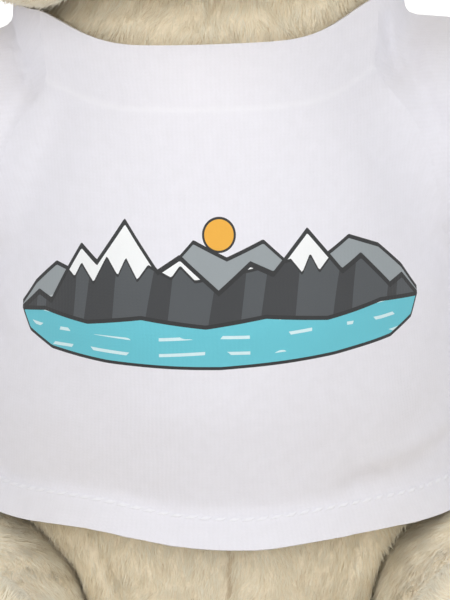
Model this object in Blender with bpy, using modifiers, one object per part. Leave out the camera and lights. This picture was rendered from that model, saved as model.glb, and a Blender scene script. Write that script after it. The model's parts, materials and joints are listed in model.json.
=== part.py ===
"""A sitting soft-toy bear in a short-sleeved T-shirt.

Each stuffed piece is a coarse cage of oval rings, from a table of shares of the piece's own sizes, under a
Subdivision Surface. What rests on or is sewn to another piece is cut with a grown copy of that piece, and
the torso is cut with the space that each limb sweeps, so a thin gap stays at every seam. The T-shirt is
two panels and two set-in sleeves, each an open sheet with Solidify, that meet on a ball round the
shoulder.

Lengths are in metres and +Z is up. The bear faces -Y, and the origin is on the floor under the middle of
the toy.
"""

import math

import bmesh
import bpy
from mathutils import Matrix, Vector

# Gap between pieces that touch
SEAM_GAP = 0.0003

# Torso, a pear with a flat seat
TORSO_HEIGHT = 0.157
TORSO_HALF_WIDTH = 0.054
TORSO_FRONT_DEPTH = 0.052
TORSO_BACK_DEPTH = 0.043
# Each row: height, half-width, depth in front, depth behind
TORSO_SHARES = (
    (0.00, 0.52, 0.46, 0.54),
    (0.00, 0.66, 0.60, 0.68),
    (0.03, 0.83, 0.74, 0.83),
    (0.11, 0.96, 0.84, 0.96),
    (0.22, 1.00, 0.89, 1.00),
    (0.35, 1.00, 0.92, 1.00),
    (0.48, 0.97, 0.98, 0.97),
    (0.60, 0.92, 1.00, 0.92),
    (0.72, 0.85, 0.92, 0.85),
    (0.84, 0.78, 0.77, 0.77),
    (0.93, 0.73, 0.66, 0.71),
    (1.00, 0.70, 0.60, 0.66),
    (1.00, 0.56, 0.48, 0.52),
)
TORSO_SEGMENTS = 16

# Head, wide with low cheeks, sunk into the top of the torso and tilted a little to the left
HEAD_HEIGHT = 0.099
HEAD_HALF_WIDTH = 0.061
HEAD_FRONT_DEPTH = 0.050
HEAD_BACK_DEPTH = 0.047
HEAD_FORWARD = 0.003
HEAD_SINK = 0.0022
HEAD_TILT = math.radians(3)
HEAD_SHARES = (
    (0.00, 0.56, 0.54, 0.52),
    (0.00, 0.72, 0.70, 0.66),
    (0.05, 0.88, 0.86, 0.82),
    (0.15, 0.97, 0.95, 0.92),
    (0.29, 1.01, 1.00, 0.98),
    (0.44, 1.00, 1.00, 1.00),
    (0.60, 0.93, 0.95, 0.97),
    (0.76, 0.78, 0.82, 0.86),
    (0.90, 0.54, 0.58, 0.61),
    (0.98, 0.26, 0.29, 0.30),
)
HEAD_CROWN_SHARE = 1.0
HEAD_SEGMENTS = 18

# Muzzle, nose and eyes
MUZZLE_HALF_WIDTH = 0.025
MUZZLE_HALF_DEPTH = 0.021
MUZZLE_HALF_HEIGHT = 0.0185
MUZZLE_HEIGHT_SHARE = 0.31
NOSE_HALF_WIDTH = 0.0090
NOSE_HALF_DEPTH = 0.0060
NOSE_HALF_HEIGHT = 0.0062
NOSE_RAISE_SHARE = 0.45
EYE_RADIUS = 0.0055
EYE_HALF_SPACING = 0.0205
EYE_HEIGHT_SHARE = 0.53
EYE_SINK_SHARE = 0.10
FACE_SEGMENTS = 18
BEAD_SEGMENTS = 14

# Ears, thick rounded discs
EAR_RADIUS = 0.0215
EAR_HALF_THICKNESS = 0.0085
EAR_OUT_SHARE = 0.70
EAR_HEIGHT_SHARE = 0.83
EAR_BACK = 0.002

# Arms, sewn to the sides of the torso at a rounded shoulder
SHOULDER_DROP = 0.031
SHOULDER_HALF_SPACING = 0.042
SHOULDER_RADIUS = 0.0195
ARM_LENGTH = 0.076
ARM_DROOP = math.radians(8)
ARM_FORWARD = math.radians(8)
ARM_RADIUS = 0.0185
# Each row: distance along the arm, radius
ARM_SHARES = (
    (0.25, 0.82),
    (0.40, 0.84),
    (0.58, 0.94),
    (0.76, 1.00),
    (0.90, 0.93),
    (0.98, 0.62),
)
ARM_SEGMENTS = 12
ARM_DOWN_SWING = math.radians(15)
ARM_UP_SWING = math.radians(35)

# Legs, sewn to the sides of the seat, lying forward on the floor with upright feet
HIP_HALF_SPACING = 0.050
HIP_FORWARD = 0.008
HIP_RADIUS = 0.0250
LEG_LENGTH = 0.092
LEG_HALF_WIDTH = 0.0260
LEG_HALF_HEIGHT = 0.0315
LEG_SPLAY = 0.008
# Each row: distance along the leg, half-width, half-height, height of the underside in half-heights
LEG_SHARES = (
    (0.16, 0.93, 0.77, 0.00),
    (0.38, 0.88, 0.73, 0.00),
    (0.57, 0.86, 0.72, 0.00),
    (0.73, 0.92, 0.84, 0.00),
    (0.86, 1.00, 1.00, 0.00),
    (0.96, 0.98, 0.98, 0.01),
    (1.00, 0.88, 0.89, 0.10),
    (1.00, 0.70, 0.71, 0.28),
)
LEG_SEGMENTS = 16
LEG_DOWN_SWING = math.radians(60)

# The round root of a limb, and the part of it that sweeps through the torso
ROOT_START = math.radians(163)
ROOT_RINGS = 4
SWEPT_TABLE_ROWS = 2
SWING_STEPS = 5

# Foot soles, flat oval patches on the ends of the feet
SOLE_THICKNESS = 0.0012
SOLE_SHARE = 0.68
SOLE_SEGMENTS = 24

# Tail, a small ball at the back
TAIL_RADIUS = 0.0105
TAIL_HEIGHT = 0.030

# T-shirt: a front and a back panel, joined at the sides, and two sleeves
FABRIC_THICKNESS = 0.0010
SHIRT_EASE = 0.0008
HEM_HEIGHT = 0.0525
HEM_DROP = 0.0030
HEM_FLARE = 0.0036
HEM_FLARE_HEIGHT = 0.0090
HEM_BAND = 0.0062
NECKLINE_FRONT_DROP = 0.0080
NECKLINE_SIDE_DROP = 0.0050
SHIRT_ROWS = 12
PANEL_STEPS = 16
ARMHOLE_RADIUS = 0.0250
ARMHOLE_SEGMENTS = 36
SLEEVE_ROOT_RADIUS = 0.0234
SLEEVE_LENGTH = 0.036
SLEEVE_RADIUS = 0.0205
SLEEVE_ROWS = 5
SLEEVE_SEGMENTS = 24
SEARCH_STEPS = 40

# Colours: (red, green, blue, alpha), roughness
PLUSH_CREAM = ((0.70, 0.60, 0.42, 1), 0.95)
SOLE_CREAM = ((0.62, 0.50, 0.34, 1), 0.95)
SHIRT_WHITE = ((0.84, 0.84, 0.87, 1), 0.90)
NOSE_BROWN = ((0.05, 0.03, 0.02, 1), 0.35)
EYE_BLACK = ((0.01, 0.008, 0.006, 1), 0.12)


def share_at(table, level):
    """The row of a table of shares at a level, straight between the rows above and below it."""
    if level <= table[0][0]:
        return table[0][1:]
    for low, high in zip(table, table[1:]):
        if low[0] < level <= high[0]:
            part = (level - low[0]) / (high[0] - low[0])
            return tuple(a + part * (b - a) for a, b in zip(low[1:], high[1:]))
    return table[-1][1:]


def torso_sizes(height):
    """Half-width, depth in front and depth behind of the torso at a height."""
    wide, front, back = share_at(TORSO_SHARES, height / TORSO_HEIGHT)
    return TORSO_HALF_WIDTH * wide, TORSO_FRONT_DEPTH * front, TORSO_BACK_DEPTH * back


def head_sizes(height):
    """Half-width, depth in front and depth behind of the head at a height above its underside."""
    wide, front, back = share_at(HEAD_SHARES, height / HEAD_HEIGHT)
    return HEAD_HALF_WIDTH * wide, HEAD_FRONT_DEPTH * front, HEAD_BACK_DEPTH * back


FRONT_REACH = HIP_FORWARD + LEG_LENGTH + SEAM_GAP + SOLE_THICKNESS
BACK_REACH = torso_sizes(TAIL_HEIGHT)[2] + TAIL_RADIUS
TORSO_Y = (FRONT_REACH - BACK_REACH) / 2
NECK = Vector((0, TORSO_Y - HEAD_FORWARD, TORSO_HEIGHT - HEAD_SINK))
HEAD_PLACE = Matrix.Translation(NECK) @ Matrix.Rotation(-HEAD_TILT, 4, "Y")


def clear_scene():
    """Removes whatever the scene holds, so that a run starts from nothing."""
    for item in list(bpy.data.objects):
        bpy.data.objects.remove(item)


def collection(name):
    """A new collection in the scene."""
    made = bpy.data.collections.new(name)
    bpy.context.scene.collection.children.link(made)
    return made


def material(name, look):
    """A Principled material from a colour and a roughness."""
    made = bpy.data.materials.new(name)
    made.use_nodes = True
    shader = made.node_tree.nodes["Principled BSDF"]
    shader.inputs["Base Color"].default_value = look[0]
    shader.inputs["Roughness"].default_value = look[1]
    shader.inputs["Metallic"].default_value = 0
    made.diffuse_color = look[0]
    return made


def add_object(name, mesh, group, finish=None, place=None):
    """A smooth-shaded object for a mesh, at the place that a matrix gives."""
    made = bpy.data.objects.new(name, mesh)
    group.objects.link(made)
    if finish:
        mesh.materials.append(finish)
    if place:
        made.matrix_world = place
    mesh.shade_smooth()
    return made


def add_cage(name, mesh, group, finish=None, place=None):
    """An object for a coarse cage, with the Subdivision Surface that rounds it."""
    made = add_object(name, mesh, group, finish, place)
    smooth = made.modifiers.new("stuffing", "SUBSURF")
    smooth.levels = 1
    smooth.render_levels = 1
    return made


def cut(piece, cutter):
    """Takes the cutter's shape out of a piece."""
    cutter.hide_render = True
    cutter.display_type = "WIRE"
    made = piece.modifiers.new("cut by " + cutter.name, "BOOLEAN")
    made.operation = "DIFFERENCE"
    made.solver = "EXACT"
    made.object = cutter


def cage_share(step):
    """How much larger a cage's corners, a step apart on a circle, lie than the surface that Subdivision
    makes of them: a corner moves to 3/4 of itself and 1/4 of the mean of its two neighbours."""
    return 1 / (3 / 4 + math.cos(step) / 4)


def oval(centre, wide, front, back, segments):
    """A level cage ring whose front half and back half have their own depths."""
    larger = cage_share(2 * math.pi / segments)
    ring = []
    for step in range(segments):
        turn = 2 * math.pi * step / segments
        depth = back if math.sin(turn) > 0 else front
        across = Vector((wide * math.cos(turn), depth * math.sin(turn), 0))
        ring.append(centre + larger * across)
    return ring


def loft(name, rings, start=None, end=None):
    """A closed mesh through rings of equal count. A start or end point makes a pointed cap there."""
    mesh = bpy.data.meshes.new(name)
    shape = bmesh.new()
    rows = [[shape.verts.new(point) for point in ring] for ring in rings]
    count = len(rings[0])
    for low, high in zip(rows, rows[1:]):
        for i in range(count):
            j = (i + 1) % count
            shape.faces.new((low[i], low[j], high[j], high[i]))
    for row, tip in ((rows[0], start), (rows[-1], end)):
        if tip is None:
            shape.faces.new(row)
            continue
        point = shape.verts.new(tip)
        for i in range(count):
            shape.faces.new((row[i], row[(i + 1) % count], point))
    bmesh.ops.recalc_face_normals(shape, faces=shape.faces)
    shape.to_mesh(mesh)
    shape.free()
    return mesh


def hull(name, points):
    """The closed mesh stretched over a set of points, for a cutter that clears a whole swing."""
    mesh = bpy.data.meshes.new(name)
    shape = bmesh.new()
    for point in points:
        shape.verts.new(point)
    made = bmesh.ops.convex_hull(shape, input=shape.verts)
    spare = [item for item in made["geom_interior"] if isinstance(item, bmesh.types.BMVert)]
    bmesh.ops.delete(shape, geom=spare, context="VERTS")
    bmesh.ops.recalc_face_normals(shape, faces=shape.faces)
    shape.to_mesh(mesh)
    shape.free()
    return mesh


def ball(name, centre, sizes, segments):
    """An oval ball from a sphere primitive."""
    mesh = bpy.data.meshes.new(name)
    shape = bmesh.new()
    bmesh.ops.create_uvsphere(shape, u_segments=segments, v_segments=segments // 2, radius=1)
    bmesh.ops.scale(shape, vec=sizes, verts=shape.verts)
    bmesh.ops.translate(shape, vec=centre, verts=shape.verts)
    shape.to_mesh(mesh)
    shape.free()
    return mesh


def torso_mesh(name, grow=0.0):
    """The torso: oval rings up its height, with a flat seat and a flat top."""
    rings = []
    for level, wide, front, back in TORSO_SHARES:
        rings.append(
            oval(
                Vector((0, TORSO_Y, level * TORSO_HEIGHT)),
                TORSO_HALF_WIDTH * wide + grow,
                TORSO_FRONT_DEPTH * front + grow,
                TORSO_BACK_DEPTH * back + grow,
                TORSO_SEGMENTS,
            )
        )
    return loft(name, rings)


def head_mesh(name, grow=0.0):
    """The head, from its underside at the origin to the crown."""
    rings = []
    for level, wide, front, back in HEAD_SHARES:
        drop = grow if level == 0 else 0
        rings.append(
            oval(
                Vector((0, 0, level * HEAD_HEIGHT - drop)),
                HEAD_HALF_WIDTH * wide + grow,
                HEAD_FRONT_DEPTH * front + grow,
                HEAD_BACK_DEPTH * back + grow,
                HEAD_SEGMENTS,
            )
        )
    return loft(name, rings, end=Vector((0, 0, HEAD_CROWN_SHARE * HEAD_HEIGHT + grow)))


def root_rings(radius, grow, segments):
    """Rings of a limb's ball-shaped root, from behind its centre to its widest place, along +X."""
    turns = [ROOT_START - (ROOT_START - math.pi / 2) * i / (ROOT_RINGS - 1) for i in range(ROOT_RINGS)]
    larger = cage_share(turns[0] - turns[1])
    reach = (radius + grow) * larger
    return [limb_ring(reach * math.cos(turn), reach * math.sin(turn), segments) for turn in turns]


def limb_ring(along, radius, segments):
    """A round cage ring square to +X."""
    reach = radius * cage_share(2 * math.pi / segments)
    ring = []
    for step in range(segments):
        turn = 2 * math.pi * step / segments
        ring.append(Vector((along, reach * math.cos(turn), reach * math.sin(turn))))
    return ring


def arm_rings(grow=0.0):
    """The cage of an arm along +X from its shoulder at the origin: ball root, narrow seam, full paw."""
    rings = root_rings(SHOULDER_RADIUS, grow, ARM_SEGMENTS)
    for along, radius in ARM_SHARES:
        rings.append(limb_ring(ARM_LENGTH * along, ARM_RADIUS * radius + grow, ARM_SEGMENTS))
    return rings


def leg_rings(side, grow=0.0):
    """The cage of a leg along -Y from its hip, its underside level, ending in an upright foot."""
    forward = Matrix.Rotation(-math.pi / 2, 4, "Z")
    rings = []
    for ring in root_rings(HIP_RADIUS, grow, LEG_SEGMENTS):
        rings.append([forward @ point for point in ring])
    larger = cage_share(2 * math.pi / LEG_SEGMENTS)
    for along, wide, high, under in LEG_SHARES:
        half_height = LEG_HALF_HEIGHT * high
        level = half_height + LEG_HALF_HEIGHT * under - HIP_RADIUS
        centre = Vector((side * LEG_SPLAY * along, -LEG_LENGTH * along, level))
        ring = []
        for step in range(LEG_SEGMENTS):
            turn = 2 * math.pi * step / LEG_SEGMENTS
            across = (LEG_HALF_WIDTH * wide + grow) * math.cos(turn)
            up = (half_height + grow) * math.sin(turn)
            ring.append(centre + larger * Vector((across, 0, up)))
        rings.append(ring)
    return rings


def arm_place(side, swing=0.0):
    """Where an arm along +X goes: forward, down by its droop, up by a swing, at its shoulder."""
    facing = Matrix.Rotation(math.pi if side < 0 else 0.0, 4, "Z")
    forward = Matrix.Rotation(-side * ARM_FORWARD, 4, "Z")
    down = Matrix.Rotation(side * (ARM_DROOP - swing), 4, "Y")
    pivot = Vector((side * SHOULDER_HALF_SPACING, TORSO_Y, TORSO_HEIGHT - SHOULDER_DROP))
    return Matrix.Translation(pivot) @ down @ forward @ facing


def leg_place(side, swing=0.0):
    """Where a leg goes: at its hip, as high as its root is thick, and down by a swing."""
    pivot = Vector((side * HIP_HALF_SPACING, TORSO_Y - HIP_FORWARD, HIP_RADIUS))
    return Matrix.Translation(pivot) @ Matrix.Rotation(swing, 4, "X")


def swept_hollow(name, root, rings, place, side, low, high, group):
    """A cutter over all that a limb passes through in its swing: the ball of its root, which the swing
    turns about its centre, and the rings beyond it."""
    points = [place(side) @ point for ring in rings[:ROOT_RINGS] for point in ring]
    for step in range(SWING_STEPS + 1):
        turned = place(side, low + (high - low) * step / SWING_STEPS)
        points.append(turned @ root)
        for ring in rings[ROOT_RINGS : ROOT_RINGS + SWEPT_TABLE_ROWS]:
            points += [turned @ point for point in ring]
    return add_object(name, hull(name, points), group)


def build_arm(side, word, parts, cutters, plush, torso):
    """An arm on its pivot, and its hollow in the torso."""
    root = Vector((-SHOULDER_RADIUS, 0, 0))
    tip = Vector((ARM_LENGTH, 0, 0))
    mesh = loft("arm", arm_rings(), start=root, end=tip)
    far = Vector((-SHOULDER_RADIUS - SEAM_GAP, 0, 0))
    rings = arm_rings(SEAM_GAP)
    low, high = -ARM_DOWN_SWING, ARM_UP_SWING
    cut(torso, swept_hollow("hollow_arm_" + word, far, rings, arm_place, side, low, high, cutters))
    return add_cage("arm_" + word, mesh, parts, plush, arm_place(side))


def build_leg(side, word, parts, cutters, plush, torso):
    """A leg on its pivot, and its hollow in the torso."""
    mesh = loft("leg", leg_rings(side), start=Vector((0, HIP_RADIUS, 0)))
    far = Vector((0, HIP_RADIUS + SEAM_GAP, 0))
    rings = leg_rings(side, SEAM_GAP)
    high = LEG_DOWN_SWING
    cut(torso, swept_hollow("hollow_leg_" + word, far, rings, leg_place, side, 0, high, cutters))
    return add_cage("leg_" + word, mesh, parts, plush, leg_place(side))


def build_sole(side, word, leg, parts, finish):
    """A flat oval patch on the end of a foot, carried by its leg."""
    high, under = LEG_SHARES[-1][2:]
    level = LEG_HALF_HEIGHT * (high + under) - HIP_RADIUS
    mesh = bpy.data.meshes.new("sole")
    shape = bmesh.new()
    bmesh.ops.create_cone(
        shape, cap_ends=True, segments=SOLE_SEGMENTS, radius1=1, radius2=1, depth=SOLE_THICKNESS
    )
    size = Vector((LEG_HALF_WIDTH * SOLE_SHARE, LEG_HALF_HEIGHT * SOLE_SHARE, 1))
    bmesh.ops.scale(shape, vec=size, verts=shape.verts)
    shape.to_mesh(mesh)
    shape.free()
    sole = add_object("sole_" + word, mesh, parts, finish)
    sole.parent = leg
    forward = LEG_LENGTH + SEAM_GAP + SOLE_THICKNESS / 2
    sole.location = Vector((side * LEG_SPLAY, -forward, level))
    sole.rotation_euler = (math.pi / 2, 0, 0)


def build_head(parts, cutters, plush, brown, black, torso):
    """The head with its ears, muzzle, nose and eyes, each seated on the piece that carries it."""
    add_cage("head", head_mesh("head"), parts, plush, HEAD_PLACE)
    seat = add_cage("head_seat", head_mesh("head_seat", SEAM_GAP), cutters, place=HEAD_PLACE)
    cut(torso, seat)

    height = MUZZLE_HEIGHT_SHARE * HEAD_HEIGHT
    centre = Vector((0, -head_sizes(height)[1], height))
    sizes = Vector((MUZZLE_HALF_WIDTH, MUZZLE_HALF_DEPTH, MUZZLE_HALF_HEIGHT))
    mesh = ball("muzzle", centre, sizes, FACE_SEGMENTS)
    muzzle = add_object("muzzle", mesh, parts, plush, HEAD_PLACE)
    cut(muzzle, seat)
    grown = sizes + Vector((SEAM_GAP, SEAM_GAP, SEAM_GAP))
    mesh = ball("muzzle_seat", centre, grown, FACE_SEGMENTS)
    muzzle_seat = add_object("muzzle_seat", mesh, cutters, place=HEAD_PLACE)

    forward = MUZZLE_HALF_DEPTH * math.sqrt(1 - NOSE_RAISE_SHARE**2)
    nose_centre = centre + Vector((0, -forward, NOSE_RAISE_SHARE * MUZZLE_HALF_HEIGHT))
    nose_sizes = Vector((NOSE_HALF_WIDTH, NOSE_HALF_DEPTH, NOSE_HALF_HEIGHT))
    mesh = ball("nose", nose_centre, nose_sizes, BEAD_SEGMENTS)
    cut(add_object("nose", mesh, parts, brown, HEAD_PLACE), muzzle_seat)

    eye_height = EYE_HEIGHT_SHARE * HEAD_HEIGHT
    wide, front, _ = head_sizes(eye_height)
    eye_forward = front * math.sqrt(1 - (EYE_HALF_SPACING / wide) ** 2) - EYE_SINK_SHARE * EYE_RADIUS
    round_eye = Vector((EYE_RADIUS, EYE_RADIUS, EYE_RADIUS))
    ear_sizes = Vector((EAR_RADIUS, EAR_HALF_THICKNESS, EAR_RADIUS))
    for side, word in ((-1, "left"), (1, "right")):
        place = Vector((side * EYE_HALF_SPACING, -eye_forward, eye_height))
        mesh = ball("eye", place, round_eye, BEAD_SEGMENTS)
        cut(add_object("eye_" + word, mesh, parts, black, HEAD_PLACE), seat)
        out = side * EAR_OUT_SHARE * HEAD_HALF_WIDTH
        place = Vector((out, EAR_BACK, EAR_HEIGHT_SHARE * HEAD_HEIGHT))
        mesh = ball("ear", place, ear_sizes, FACE_SEGMENTS)
        cut(add_object("ear_" + word, mesh, parts, plush, HEAD_PLACE), seat)


def shirt_sizes(height):
    """Half-width, depth in front and depth behind of the shirt's inner face, which flares at the hem."""
    above = max(0.0, 1 - (height - HEM_HEIGHT) / HEM_FLARE_HEIGHT)
    off = SHIRT_EASE + HEM_FLARE * min(1.0, above)
    return [size + off for size in torso_sizes(height)]


def shirt_point(turn, height):
    """A point of the shirt's inner face, at a turn round the torso and a height."""
    wide, front, back = shirt_sizes(height)
    depth = back if math.sin(turn) > 0 else front
    return Vector((wide * math.cos(turn), TORSO_Y + depth * math.sin(turn), height))


def hem_height(turn):
    """The hem, a little lower in the middle of the front."""
    return HEM_HEIGHT - HEM_DROP * max(0.0, -math.sin(turn)) ** 2


def neckline_height(turn):
    """The neckline, level behind and scooped in front."""
    scoop = max(0.0, -math.sin(turn))
    drop = NECKLINE_SIDE_DROP + (NECKLINE_FRONT_DROP - NECKLINE_SIDE_DROP) * scoop
    return TORSO_HEIGHT - drop


def sheet(name, rows, closed):
    """An open mesh through rows of points, closed round if the rows are rings."""
    mesh = bpy.data.meshes.new(name)
    shape = bmesh.new()
    made = [[shape.verts.new(point) for point in row] for row in rows]
    count = len(rows[0])
    for low, high in zip(made, made[1:]):
        for i in range(count if closed else count - 1):
            j = (i + 1) % count
            shape.faces.new((low[i], low[j], high[j], high[i]))
    shape.to_mesh(mesh)
    shape.free()
    return mesh


def thicken(piece):
    """Gives a sheet the thickness of the fabric, outwards."""
    thick = piece.modifiers.new("fabric", "SOLIDIFY")
    thick.thickness = FABRIC_THICKNESS
    thick.offset = 1


def build_panel(name, first, last, holes, group, finish):
    """A panel of the shirt between two turns round the torso, with its armholes cut."""
    seam = SEAM_GAP / 2 / TORSO_HALF_WIDTH
    rows = []
    for row in range(SHIRT_ROWS + 1):
        above_band = max(0, row - 1) / (SHIRT_ROWS - 1)
        points = []
        for step in range(PANEL_STEPS + 1):
            turn = first + (last - first) * step / PANEL_STEPS
            turn = min(max(turn, first + seam), last - seam)
            low, high = hem_height(turn), neckline_height(turn)
            band = low + HEM_BAND * min(1, row)
            points.append(shirt_point(turn, band + (high - band) * above_band))
        rows.append(points)
    panel = add_object(name, sheet(name, rows, closed=False), group, finish)
    thicken(panel)
    for hole in holes:
        cut(panel, hole)


def sleeve_root(side, turn):
    """Where the shirt's inner face is one root radius from the shoulder, in a direction round the arm.

    The angle between that point and straight out is found by halving: nearer to straight out it lies
    outside the shirt, and further round it lies inside."""
    pivot = arm_place(side).to_translation()
    low, high = 0.0, math.pi
    for _ in range(SEARCH_STEPS):
        lean = (low + high) / 2
        round_arm = math.sin(lean)
        away = (side * math.cos(lean), round_arm * math.cos(turn), round_arm * math.sin(turn))
        point = pivot + SLEEVE_ROOT_RADIUS * Vector(away)
        wide, front, back = shirt_sizes(point.z)
        depth = back if point.y > TORSO_Y else front
        if math.hypot(point.x / wide, (point.y - TORSO_Y) / depth) > 1:
            low = lean
        else:
            high = lean
    return point


def build_sleeve(side, word, arm, group, finish):
    """A sleeve, carried by its arm: an open tube from the edge of the armhole to the cuff."""
    to_arm = arm_place(side).inverted()
    rows = []
    for row in range(SLEEVE_ROWS + 1):
        part = row / SLEEVE_ROWS
        points = []
        for step in range(SLEEVE_SEGMENTS):
            turn = 2 * math.pi * step / SLEEVE_SEGMENTS
            edge = to_arm @ sleeve_root(side, turn)
            cuff_y = side * SLEEVE_RADIUS * math.cos(turn)
            cuff = Vector((SLEEVE_LENGTH, cuff_y, SLEEVE_RADIUS * math.sin(turn)))
            point = edge.lerp(cuff, part)
            edge_reach = math.hypot(edge.y, edge.z)
            reach = edge_reach + (SLEEVE_RADIUS - edge_reach) * math.sqrt(part)
            wider = reach / math.hypot(point.y, point.z)
            points.append(Vector((point.x, point.y * wider, point.z * wider)))
        rows.append(points if side > 0 else points[::-1])
    sleeve = add_object("sleeve_" + word, sheet("sleeve", rows, closed=True), group, finish)
    thicken(sleeve)
    sleeve.parent = arm


def build_tail(parts, cutters, plush):
    """The tail, a ball seated on the back of the torso."""
    centre = Vector((0, TORSO_Y + torso_sizes(TAIL_HEIGHT)[2], TAIL_HEIGHT))
    sizes = Vector((TAIL_RADIUS, TAIL_RADIUS, TAIL_RADIUS))
    tail = add_object("tail", ball("tail", centre, sizes, FACE_SEGMENTS), parts, plush)
    cut(tail, add_cage("torso_seat", torso_mesh("torso_seat", SEAM_GAP), cutters))


def build():
    """The whole toy."""
    clear_scene()
    parts = collection("soft_toy_bear")
    cutters = collection("cutters")
    plush = material("cream_plush", PLUSH_CREAM)
    tan = material("sole_cloth", SOLE_CREAM)
    white = material("white_jersey", SHIRT_WHITE)
    brown = material("nose_plastic", NOSE_BROWN)
    black = material("eye_plastic", EYE_BLACK)

    torso = add_cage("torso", torso_mesh("torso"), parts, plush)
    holes = []
    for side, word in ((-1, "left"), (1, "right")):
        arm = build_arm(side, word, parts, cutters, plush, torso)
        build_sleeve(side, word, arm, parts, white)
        leg = build_leg(side, word, parts, cutters, plush, torso)
        build_sole(side, word, leg, parts, tan)
        size = Vector((ARMHOLE_RADIUS, ARMHOLE_RADIUS, ARMHOLE_RADIUS))
        pivot = arm_place(side).to_translation()
        mesh = ball("armhole", pivot, size, ARMHOLE_SEGMENTS)
        holes.append(add_object("armhole_" + word, mesh, cutters))
    build_head(parts, cutters, plush, brown, black, torso)
    build_tail(parts, cutters, plush)
    build_panel("shirt_front", math.pi, 2 * math.pi, holes, parts, white)
    build_panel("shirt_back", 0.0, math.pi, holes, parts, white)


build()
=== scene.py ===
# %% [markdown]
# # A sitting soft toy bear in a white T-shirt
#
# The toy is short-pile cream plush, about 26 cm tall, and it wears a white jersey T-shirt with a printed
# landscape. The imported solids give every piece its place. This lesson dresses them: stuffed skins with
# their pile, a T-shirt with set-in sleeves, its hems, stitches and print, and the face.

# %% Load the solids
import json
import math

import bmesh
import bpy
import numpy as np
from mathutils import Matrix, Vector


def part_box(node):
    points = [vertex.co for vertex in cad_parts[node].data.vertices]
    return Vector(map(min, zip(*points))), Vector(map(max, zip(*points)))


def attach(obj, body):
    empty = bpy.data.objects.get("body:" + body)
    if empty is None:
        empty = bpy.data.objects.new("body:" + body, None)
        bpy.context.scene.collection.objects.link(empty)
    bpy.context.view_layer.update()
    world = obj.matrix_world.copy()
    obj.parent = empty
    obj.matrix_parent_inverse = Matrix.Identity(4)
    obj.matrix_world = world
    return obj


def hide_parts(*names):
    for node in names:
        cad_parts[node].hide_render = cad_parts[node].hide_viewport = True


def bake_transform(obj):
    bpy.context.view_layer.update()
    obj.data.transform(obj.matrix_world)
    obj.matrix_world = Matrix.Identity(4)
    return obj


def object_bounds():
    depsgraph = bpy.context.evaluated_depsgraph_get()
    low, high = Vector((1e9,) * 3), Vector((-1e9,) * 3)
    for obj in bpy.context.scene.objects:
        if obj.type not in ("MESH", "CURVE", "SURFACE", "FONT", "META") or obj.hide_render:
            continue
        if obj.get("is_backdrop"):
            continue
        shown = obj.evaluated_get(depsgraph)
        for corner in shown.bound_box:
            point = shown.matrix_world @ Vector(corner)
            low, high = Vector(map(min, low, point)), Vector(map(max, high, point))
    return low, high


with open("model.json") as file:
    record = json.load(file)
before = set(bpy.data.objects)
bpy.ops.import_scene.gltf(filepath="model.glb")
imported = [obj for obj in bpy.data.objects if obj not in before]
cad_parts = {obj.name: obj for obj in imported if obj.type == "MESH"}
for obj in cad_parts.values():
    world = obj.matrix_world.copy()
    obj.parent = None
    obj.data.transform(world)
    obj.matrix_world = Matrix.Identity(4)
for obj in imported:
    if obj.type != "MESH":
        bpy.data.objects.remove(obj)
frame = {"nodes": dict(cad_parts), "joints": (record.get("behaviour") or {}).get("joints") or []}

solid_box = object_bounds()
joints = {joint["name"]: joint for joint in frame["joints"]}
WORDS = {-1: "left", 1: "right"}
SHOULDER = {side: np.array(joints["shoulder_" + word]["pos_m"]) for side, word in WORDS.items()}
HIP = {side: np.array(joints["hip_" + word]["pos_m"]) for side, word in WORDS.items()}
MIDDLE = float(SHOULDER[1][1])
MM = 0.001
UP, BACKWARDS = np.array((0, 0, 1.0)), np.array((0, 1.0, 0))
print("loaded", len(frame["nodes"]), "solids; middle of the torso at y", round(MIDDLE, 4))

# %% [markdown]
# ## Camera, floor and light
#
# The picture is a close view of the chest and belly, from a little above, with the toy leaning 2 degrees to
# the left in it. A long lens keeps the belly's proportions. Three broad lamps in front, one behind and a pale
# world light the cloth softly, so that folds read by shade and not by hard shadows.

# %% Camera
LOOK_AT = Vector((0.0012, MIDDLE - 0.052, 0.1002))
DISTANCE, HALF_VIEW = 0.65, 0.060
LOOK_DOWN, LEAN = math.radians(15), math.radians(-2.1)
back = Vector((0, -math.cos(LOOK_DOWN), math.sin(LOOK_DOWN)))
lens = bpy.data.cameras.new("camera")
camera = bpy.data.objects.new("camera", lens)
bpy.context.scene.collection.objects.link(camera)
turned = (-back).to_track_quat("-Z", "Y").to_matrix().to_4x4() @ Matrix.Rotation(LEAN, 4, "Z")
camera.matrix_world = Matrix.Translation(LOOK_AT + back * DISTANCE) @ turned
lens.lens = lens.sensor_width / 2 / (HALF_VIEW / DISTANCE)
lens.clip_start = 0.01
bpy.context.scene.camera = camera
bpy.context.scene.view_settings.view_transform = "Standard"
print("camera lens", round(lens.lens, 1), "mm")


# %% Lamps and world
def lamp(name, place, size, power):
    """A square area lamp that faces the toy's chest."""
    data = bpy.data.lights.new(name, "AREA")
    data.size, data.energy = size, power
    made = bpy.data.objects.new(name, data)
    bpy.context.scene.collection.objects.link(made)
    facing = (Vector((0, MIDDLE, 0.11)) - Vector(place)).to_track_quat("-Z", "Y")
    made.matrix_world = Matrix.Translation(place) @ facing.to_matrix().to_4x4()


lamp("key_left", (-0.80, -0.85, 0.86), size=0.9, power=6.9)
lamp("key_right", (0.78, -0.87, 0.82), size=0.9, power=6.6)
lamp("front", (0.1, -1.30, 0.24), size=0.7, power=1.1)
lamp("rim", (0.2, 1.1, 0.9), size=0.9, power=5)

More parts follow.
